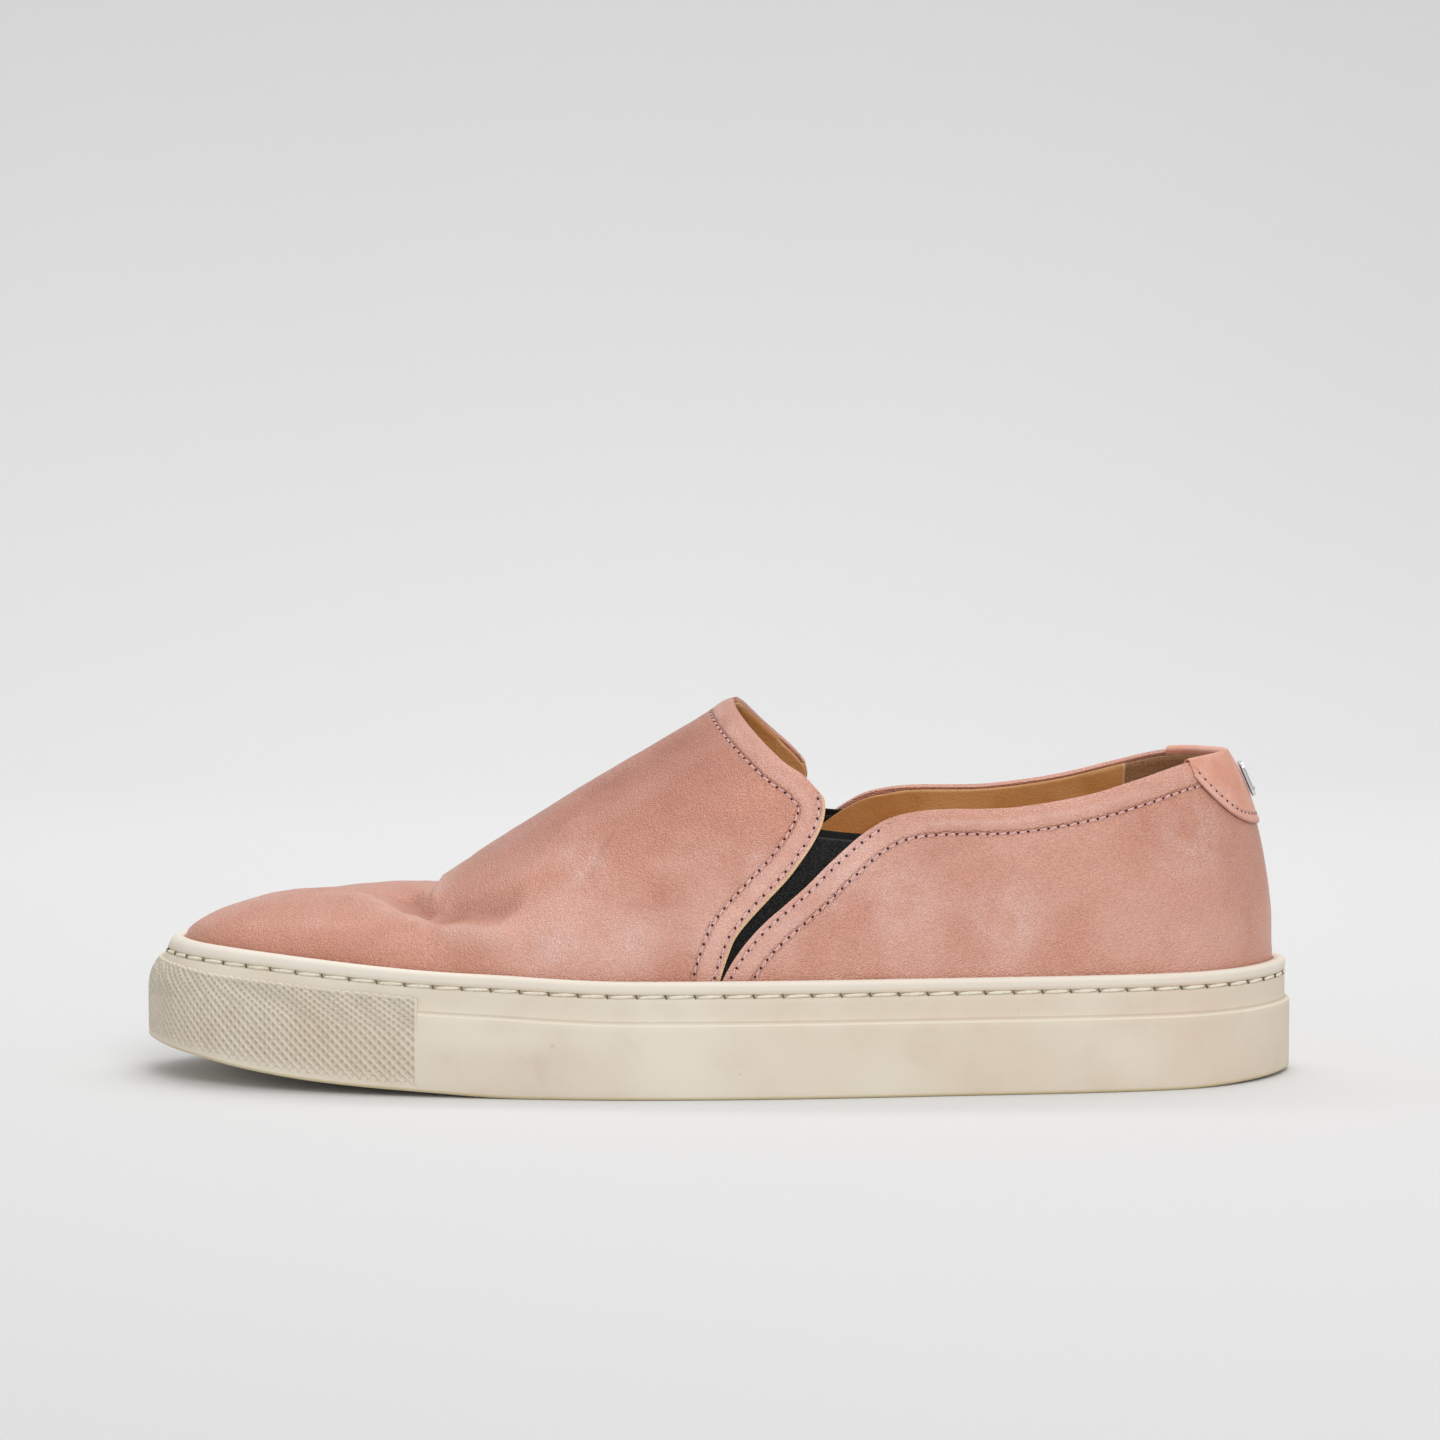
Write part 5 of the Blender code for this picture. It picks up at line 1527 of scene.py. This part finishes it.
def lining_of(name, points):
    """A thinner sheet inside a panel, pushed further in where it covers the elastic."""
    first, top, last = edge_lines(points)
    near = away_from(points, (first, last))
    over_flap = smooth_step(SUEDE_FRONT - 0.001, SUEDE_FRONT + 0.001, points[:, :, 0])
    depth = LEATHER + 0.00005 + LINING_STEP * smooth_step(0.011, 0.007, near) + FLAP_ROOM * over_flap
    inner = points - grid_normals(points) * depth[:, :, None]
    full = with_margin(inner, inner[0, :, :2])
    made = sheet(name, full, {}, lining_leather, LINING)
    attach(made, "root")
    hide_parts("upper")


lining_of("lining_vamp", vamp_skin(180, 80, LINING_DROP * 0.4)[0])
lining_of("lining_quarters", quarter_skin(200, 36, LINING_DROP)[0])

# Insole
# A padded footbed covered in the same tan leather, glued to the floor of the cup, slightly dished.

INSOLE_THICKNESS = 0.0040
WALL = 0.0018
INSOLE_EDGE_GAP = 0.0012
INSOLE_DISH = 0.0010
INSOLE_EDGE_ROUND = 0.0008

insole_leather, insole_place, insole_shader = finish_named("insole_leather")
insole_patch = insole_place.noise(40.0, 3.0).ramp(0.3, 0.7)
set_finish(
    insole_shader,
    {
        "Base Color": insole_patch.tint(TAN_DEEP, TAN),
        "Roughness": insole_patch * 0.1 + 0.5,
        "Normal": ((1 - insole_place.cells(1200.0)) * 0.6).bump(0.0002, 0.6),
    },
)
insole_loop = FEATHER + INWARD * (WALL + INSOLE_EDGE_GAP)
insole_plan, insole_in = across_shoe(insole_loop, 41, 160, ends=0.0015)
insole_top = leather_line(insole_plan[:, :, 0]) - CUP_DEPTH + 2 * CLEARANCE + WALL + INSOLE_THICKNESS
insole_top = insole_top - INSOLE_DISH * smooth_step(0.004, 0.020, insole_in)
insole_top = insole_top - INSOLE_EDGE_ROUND * smooth_step(0.0015, 0.0, insole_in)
insole = sheet(
    "insole", raised(insole_plan, insole_top), {}, insole_leather,
    INSOLE_THICKNESS - INSOLE_DISH - 0.0002, middle=(0.0, 0.0, -1.0),
)
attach(insole, "root")
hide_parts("insole")

# Gores
# Black ribbed elastic sewn behind each slit, folded over into a narrow hem at the top, where it sags a
# little between the leather edges.

GORE_THICKNESS = 0.0009
GORE_LAP = 0.0060
GORE_TOP_SHARE = 0.90
GORE_SAG = 0.0007
GORE_TILT = 0.0024
HEM = 0.0019
HEM_FOOT = GORE_TOP_SHARE * COLLAR_RISE + 0.001 - HEM
BLACK = (0.006, 0.006, 0.006)
BLACK_FIBRE = (0.032, 0.032, 0.033)
# Painted highlight for the hem's fold.
BLACK_FOLD_HIGHLIGHT = (0.075, 0.075, 0.078)
GORE_RIB = 0.0007
GORE_WEFT = 0.00055
GORE_ROWS = 70
GORE_COLUMNS = 60

elastic, elastic_place, elastic_shader = finish_named("black_elastic")
gore_u = elastic_place.measured("across")
gore_v = elastic_place.measured("up")
elastic_fibre = elastic_place.noise(2500.0, 2.0)
elastic_relief = gore_u.wave(GORE_RIB) * 0.5 + gore_v.wave(GORE_WEFT) * 0.3 + elastic_fibre * 0.8
body = gore_v.ramp(HEM_FOOT + 0.0002, HEM_FOOT - 0.0002)
elastic_colour = (elastic_fibre.ramp(0.35, 0.7) * (0.35 + body * 0.65)).tint(BLACK, BLACK_FIBRE)
# A paler line along the fold of the hem: painted highlight.
elastic_colour = (gore_v.ridge(HEM_FOOT, 0.00035) * 0.7).tint(elastic_colour, BLACK_FOLD_HIGHLIGHT)
set_finish(
    elastic_shader, {"Base Color": elastic_colour, "Normal": elastic_relief.bump(0.0002, 0.9)},
    Roughness=0.8, Specular_IOR_Level=0.2,
)


def gore(name, node, side):
    """A gore between the edges of one side's slit, lapping behind both, level by level."""
    front = slit_front(side)
    rear = quarter_slit(side)
    low = SOLE_HEIGHT - 0.001
    high = SOLE_HEIGHT + GORE_TOP_SHARE * COLLAR_RISE
    t = np.linspace(0, 1, GORE_COLUMNS + 1)
    points, across, climb = [], [], []
    for share in np.arange(GORE_ROWS + 1) / GORE_ROWS:
        height = low + (high - low) * share
        start = np.interp(height, front[:, 1], front[:, 0]) - GORE_LAP
        end = np.interp(height, rear[:, 1], rear[:, 0]) + GORE_LAP
        x = start + (end - start) * t
        foot = leather_line(x) + 1e-5
        droop = GORE_TILT * (0.45 - t) - GORE_SAG * 4 * t * (1 - t)
        at = side_points(x, np.maximum(height, foot) + droop * share ** 3, side)
        at[:, 2] -= np.maximum(0, foot - height)
        points.append(at)
        across.append((end - start) * t)
        climb.append(np.full(len(t), height - low))
    points, across, climb = np.array(points), np.array(across), np.array(climb)
    normals = grid_normals(points)
    if normals[:, :, 1].mean() * side < 0:
        normals = -normals
    hem_foot = high - low - HEM
    hem = smooth_step(hem_foot, hem_foot + 0.0003, climb)
    hem_line = np.exp(-((climb - hem_foot) / 0.0003) ** 2)
    depth = LEATHER + 0.0002 - 0.0001 * hem + 0.0003 * hem_line
    made = sheet(
        name, points - normals * depth[:, :, None], {"across": across, "up": climb}, elastic,
        GORE_THICKNESS, middle=(0.0, 0.0, 0.045), rounding=0.0003,
    )
    made.modifiers["rounded_edge"].segments = 2
    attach(made, "root")
    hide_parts(node)


gore("elastic_lateral", "gore_lateral", -1)
gore("elastic_medial", "gore_medial", 1)

# Upper stitches
# Mauve cotton thread in short stitches: one row round the whole throat and slit, a second close to each
# slit, and the same on the quarters, with dark balls at the needle's holes as their painted shade.

STITCH_PITCH = 0.00258
STITCH_LENGTH = 0.0021
STITCH_THREAD = 0.00046
MAUVE = srgb(236, 200, 200)
MAUVE_DEEP = srgb(208, 160, 164)
HOLE = (0.00078, 0.00064, 0.00032)
# Colours of the balls at the needle holes: painted shade.
HOLE_SHADE_DARK = srgb(44, 18, 24)
HOLE_SHADE_EDGE = srgb(66, 30, 36)
STITCH_FOOT = 0.0008
SLIT_ROW_TOPS = (0.0735, 0.0655)

thread_mauve = two_toned("mauve_thread", 1200.0, MAUVE_DEEP, MAUVE, 0.55)
# Dark balls at the upper's needle holes: painted shade.
needle_hole_shade = two_toned("needle_hole_shade", 900.0, HOLE_SHADE_DARK, HOLE_SHADE_EDGE, 0.9)


def surface_tree(points):
    """A search tree of a panel's outer surface."""
    rows, columns = points.shape[:2]
    verts = [Vector(p) for p in points.reshape(-1, 3)]
    faces = [
        (i * columns + k, i * columns + k + 1, (i + 1) * columns + k + 1, (i + 1) * columns + k)
        for i in range(rows - 1) for k in range(columns - 1)
    ]
    return BVHTree.FromPolygons(verts, faces)


def softened(line, passes=6):
    """A line with its small steps smoothed out."""
    for _ in range(passes):
        line[1:-1] = line[1:-1] * 0.5 + (line[:-2] + line[2:]) * 0.25
    return line


def seam_line(points, normals, parts, inset, top=math.inf):
    """A line on a panel at an even distance from its free edges, above the sole and below a height."""
    tree = surface_tree(points)
    line, outward = (np.concatenate([edge_lines(grid)[k] for k in parts]) for grid in (points, normals))
    lengths = lengths_of(line)
    even = np.arange(0, lengths[-1], 0.0004)
    line, outward = at_keys(line, lengths, even), at_keys(outward, lengths, even)
    inward = unit_rows(np.cross(outward, np.gradient(line, axis=0)))
    middle = points[points.shape[0] // 2, points.shape[1] // 2]
    if (inward * (middle - line)).sum() < 0:
        inward = -inward
    nearest = [tree.find_nearest(Vector(p)) for p in line + inward * inset]
    found, ups = (np.array([hit[k] for hit in nearest]) for k in (0, 1))
    kept = away_from(found[None], [line])[0] > inset * 0.93
    kept &= found[:, 2] > leather_line(found[:, 0]) + STITCH_FOOT
    kept &= found[:, 2] < top
    found, ups = found[kept], ups[kept]
    if (ups * (found - np.array([found[:, 0].mean(), 0, SOLE_HEIGHT]))).sum() < 0:
        ups = -ups
    return softened(found), ups


upper_rows = []
for points, normals, slit_top in (
    (vamp_points, vamp_normals, SLIT_ROW_TOPS[0]), (quarter_points, quarter_normals, SLIT_ROW_TOPS[1]),
):
    upper_rows.append(seam_line(points, normals, (0, 1, 2), SEAM_INSET))
    upper_rows += [seam_line(points, normals, (part,), SLIT_SEAM_INSET, slit_top) for part in (0, 2)]
upper_stitches = sewn_piece(
    "upper_stitches", upper_rows, STITCH_PITCH, STITCH_LENGTH, STITCH_THREAD, STITCH_THREAD * 0.1, HOLE,
    0.12, thread_mauve, needle_hole_shade,
)
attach(upper_stitches, "root")

# Heel tab
# A patch of the same leather folded over the back of the collar. Outside it narrows to a rounded tip on the
# back seam, and a row of stitches runs just inside its thick turned edge.

TAB_WALL = 0.00045
TAB_COLUMNS = 61
TAB_FLAP_ROWS = 7
TAB_FOLD_ROWS = 9
TAB_OUTER_ROWS = 24
TAB_DROP = 0.0182
TAB_SIDE_DROP = 0.0038
TAB_ROUNDNESS = 3.0
TAB_REACH = 0.0125
TAB_FLAP = 0.0080
TAB_RIM_GAP = 0.00015
TAB_FOLD_FLATTEN = 0.45
TAB_STITCH_INSET = 0.0021
TAB_BEAD = 0.0004
TAB_MIDDLE = (0.10, 0.0, 0.06)
TAB_EDGE_DARK = srgb(150, 100, 84)


def heel_rib(place):
    """A half section at a place of the heel, and the height of the collar on it."""
    side = -1 if (place - HEEL_BACK) % len(FEATHER) < len(FEATHER) / 2 else 1
    return rib_to_rim(on_loop(FEATHER, [place])[0], side)


def on_rib(rib, height):
    return at_keys(rib, rib[:, 2], height)


def heel_place(x, side):
    """The place on the leather line whose rib meets the collar at x."""

    def is_behind(count):
        return on_rib(*heel_rib(HEEL_BACK - side * count))[0] > x

    return HEEL_BACK - side * halved(0.0, len(FEATHER) / 3, is_behind, 30)[0]


def rib_normal(rib, height):
    """Outward direction of a rib at a height, in the rib's own upright plane."""
    run = on_rib(rib, height) - on_rib(rib, height - 0.001)
    inward = rib[-1] - rib[0]
    inward[2] = 0
    inward /= np.linalg.norm(inward)
    slope = np.array([run.dot(inward), run[2]])
    slope /= np.linalg.norm(slope)
    outward = -inward * slope[1]
    outward[2] = slope[0]
    return outward


def tab_column(rib, height, drop):
    """One column of the tab, from its turned-in edge over the rim and down the outside."""
    outward = rib_normal(rib, height)
    top = on_rib(rib, height)
    upward = np.cross(outward, np.cross((0, 0, 1), outward))
    upward /= np.linalg.norm(upward)
    inside = -(LEATHER + TAB_RIM_GAP)
    half, centre = (TAB_RIM_GAP - inside) / 2, (TAB_RIM_GAP + inside) / 2
    made = []
    for depth in np.linspace(TAB_FLAP, 0.0006, TAB_FLAP_ROWS):
        made.append(on_rib(rib, height - depth) + rib_normal(rib, height - depth) * inside)
    for a in np.linspace(0, math.pi, TAB_FOLD_ROWS):
        up = TAB_RIM_GAP + half * TAB_FOLD_FLATTEN * math.sin(a)
        made.append(top + outward * (centre - half * math.cos(a)) + upward * up)
    for depth in drop * np.linspace(0.06, 1.0, TAB_OUTER_ROWS):
        made.append(on_rib(rib, height - depth) + rib_normal(rib, height - depth) * TAB_RIM_GAP)
    return made


tab_back, tab_top = heel_rib(HEEL_BACK)
tab_front = on_rib(tab_back, tab_top)[0] - TAB_REACH
tab_ends = [heel_place(tab_front, side) for side in (1, -1)]
tab_points = []
for share in np.linspace(0, 1, TAB_COLUMNS):
    rib, height = heel_rib(tab_ends[0] + (tab_ends[1] - tab_ends[0]) * share)
    away = abs(2 * share - 1)
    drop = TAB_DROP + (TAB_SIDE_DROP - TAB_DROP) * away ** TAB_ROUNDNESS
    tab_points.append(tab_column(rib, height, drop))
tab_points = np.array(tab_points).transpose(1, 0, 2)
tab_from_edge = away_from(tab_points, [tab_points[-1]])
tab_outward = unit_rows(np.cross(np.gradient(tab_points, axis=1), np.gradient(tab_points, axis=0)))
if (tab_outward[-1] * (tab_points[-1] - np.array(TAB_MIDDLE))).sum() < 0:
    tab_outward = -tab_outward
tab_bead = np.exp(-((tab_from_edge - TAB_STITCH_INSET * 0.45) / 0.0006) ** 2)
tab_bead[:-TAB_OUTER_ROWS] = 0
tab_points = tab_points + tab_outward * (TAB_BEAD * tab_bead)[:, :, None]

tab_leather, tab_place, tab_shader = finish_named("tab_leather")
tab_patch = tab_place.noise(70.0, 4.0, 0.6).ramp(0.35, 0.7)
tab_edge = tab_place.measured("edge")
tab_colour = layered(
    tab_patch.tint(ROSE, ROSE_PALE),
    (tab_place.noise(1700.0, 2.0, 0.6).ramp(0.35, 0.7) * 0.4, ROSE_DEEP),
    (tab_edge.ramp(0.0006, 0.0002) * 0.6, TAB_EDGE_DARK),
)
tab_relief = ((1 - tab_place.cells(1150.0)) * 0.5 + tab_place.noise(380.0, 3.0) * 0.6).bump(0.00016, 0.7)
tab_relief = (1 - tab_edge.ridge(TAB_STITCH_INSET, 0.0009)).bump(0.0005, 0.8, over=tab_relief)
set_finish(
    tab_shader, {"Base Color": tab_colour, "Roughness": tab_patch * 0.06 + 0.42, "Normal": tab_relief},
    Coat_Weight=0.08, Coat_Roughness=0.35,
)
tab = sheet(
    "tab", tab_points, {"edge": tab_from_edge}, tab_leather, TAB_WALL, middle=TAB_MIDDLE, offset=1,
    rounding=0.00035,
)
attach(tab, "root")
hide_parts("heel_tab")

# Tab stitches and back seam
# The same mauve thread, just inside the tab's turned edge, and in two rows hard against the back seam, where
# the quarters are joined edge to edge and pressed flat.

SEAM_ROW_AWAY = 0.0009
SEAM_THREAD = STITCH_THREAD * 1.5
TAB_THREAD = STITCH_THREAD * 0.9

tab_line, tab_up = [], []
for k in range(2, TAB_COLUMNS - 2):
    row = int(np.argmin(np.abs(tab_from_edge[-TAB_OUTER_ROWS:, k] - TAB_STITCH_INSET))) - TAB_OUTER_ROWS
    tab_up.append(tab_outward[row, k])
    tab_line.append(tab_points[row, k] + tab_outward[row, k] * TAB_WALL)
tab_stitches = sewn_piece(
    "tab_stitches", [(softened(np.array(tab_line), 3), np.array(tab_up))], STITCH_PITCH * 0.85,
    STITCH_LENGTH * 0.85, TAB_THREAD, TAB_THREAD * 0.1, HOLE, 0.12, thread_mauve, needle_hole_shade,
)
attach(tab_stitches, "root")

back_tree = surface_tree(quarter_points)
back_rows = []
for side in (-1, 1):
    line, ups = [], []
    for height in np.linspace(tab_top - TAB_DROP - 0.0012, leather_line(0.14) + 0.0015, 60):
        seat = on_rib(tab_back, height) + np.array([0, side * SEAM_ROW_AWAY, 0])
        place, normal = back_tree.find_nearest(Vector(seat))[:2]
        line.append(place)
        ups.append(normal if normal.x > 0 else -normal)
    back_rows.append((np.array(line), np.array(ups)))
back_seam_stitches = sewn_piece(
    "back_seam_stitches", back_rows, STITCH_PITCH * 0.75, STITCH_LENGTH * 0.8, SEAM_THREAD,
    SEAM_THREAD * 0.1, HOLE, 0.1, thread_mauve, needle_hole_shade,
)
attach(back_seam_stitches, "root")

# Heel plate
# A small plain plate of polished steel, pinned to the tab over the back seam by a round-headed pin at its
# lower end.

PLATE_WIDTH = 0.0070
PLATE_HEIGHT = 0.0095
PLATE_THICKNESS = 0.0009
PLATE_DROP = 0.0075
PLATE_GAP = 0.0002
PLATE_CORNER = PLATE_WIDTH / 4
PLATE_EDGE = 0.00012
PIN_RADIUS = 0.0008
STEEL_DULL = (0.70, 0.70, 0.71)
STEEL_BRIGHT = (0.80, 0.80, 0.81)

steel, steel_place, steel_shader = finish_named("polished_steel")
scratches = steel_place.noise(600.0, 3.0, stretch=(1.0, 1.0, 6.0))
set_finish(
    steel_shader,
    {
        "Base Color": scratches.ramp(0.3, 0.8).tint(STEEL_DULL, STEEL_BRIGHT),
        "Roughness": scratches * 0.15 + 0.15,
        "Normal": scratches.bump(0.00003, 0.4),
    },
    Metallic=1.0,
)
plate_out = rib_normal(tab_back, tab_top - PLATE_DROP)
plate_seat = on_rib(tab_back, tab_top - PLATE_DROP)
plate_away = TAB_RIM_GAP + TAB_WALL + PLATE_THICKNESS / 2 + PLATE_GAP
plate_turn = Vector((1, 0, 0)).rotation_difference(Vector(plate_out)).to_matrix().to_4x4()
plate_mesh = bmesh.new()
bmesh.ops.create_cube(plate_mesh, size=1.0)
bmesh.ops.scale(plate_mesh, vec=(PLATE_THICKNESS, PLATE_WIDTH, PLATE_HEIGHT), verts=plate_mesh.verts)
uprights = [e for e in plate_mesh.edges if abs(e.verts[0].co.x - e.verts[1].co.x) > PLATE_THICKNESS / 2]
for edges, round_by, segments in ((uprights, PLATE_CORNER, 6), (plate_mesh.edges, PLATE_EDGE, 2)):
    bmesh.ops.bevel(
        plate_mesh, geom=list(edges), offset=round_by, segments=segments, profile=0.5, affect="EDGES",
        material=-1,
    )
pin_head = bmesh.ops.create_uvsphere(plate_mesh, u_segments=20, v_segments=10, radius=PIN_RADIUS)["verts"]
bmesh.ops.translate(plate_mesh, vec=(PLATE_THICKNESS * 0.4, 0, -PLATE_HEIGHT * 0.32), verts=pin_head)
bmesh.ops.transform(
    plate_mesh, matrix=Matrix.Translation(Vector(plate_seat + plate_out * plate_away)) @ plate_turn,
    verts=plate_mesh.verts,
)
plate = piece_of("plate", plate_mesh, steel)
plate.data.set_sharp_from_angle(angle=math.radians(40))
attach(plate, "root")
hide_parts("heel_plate")
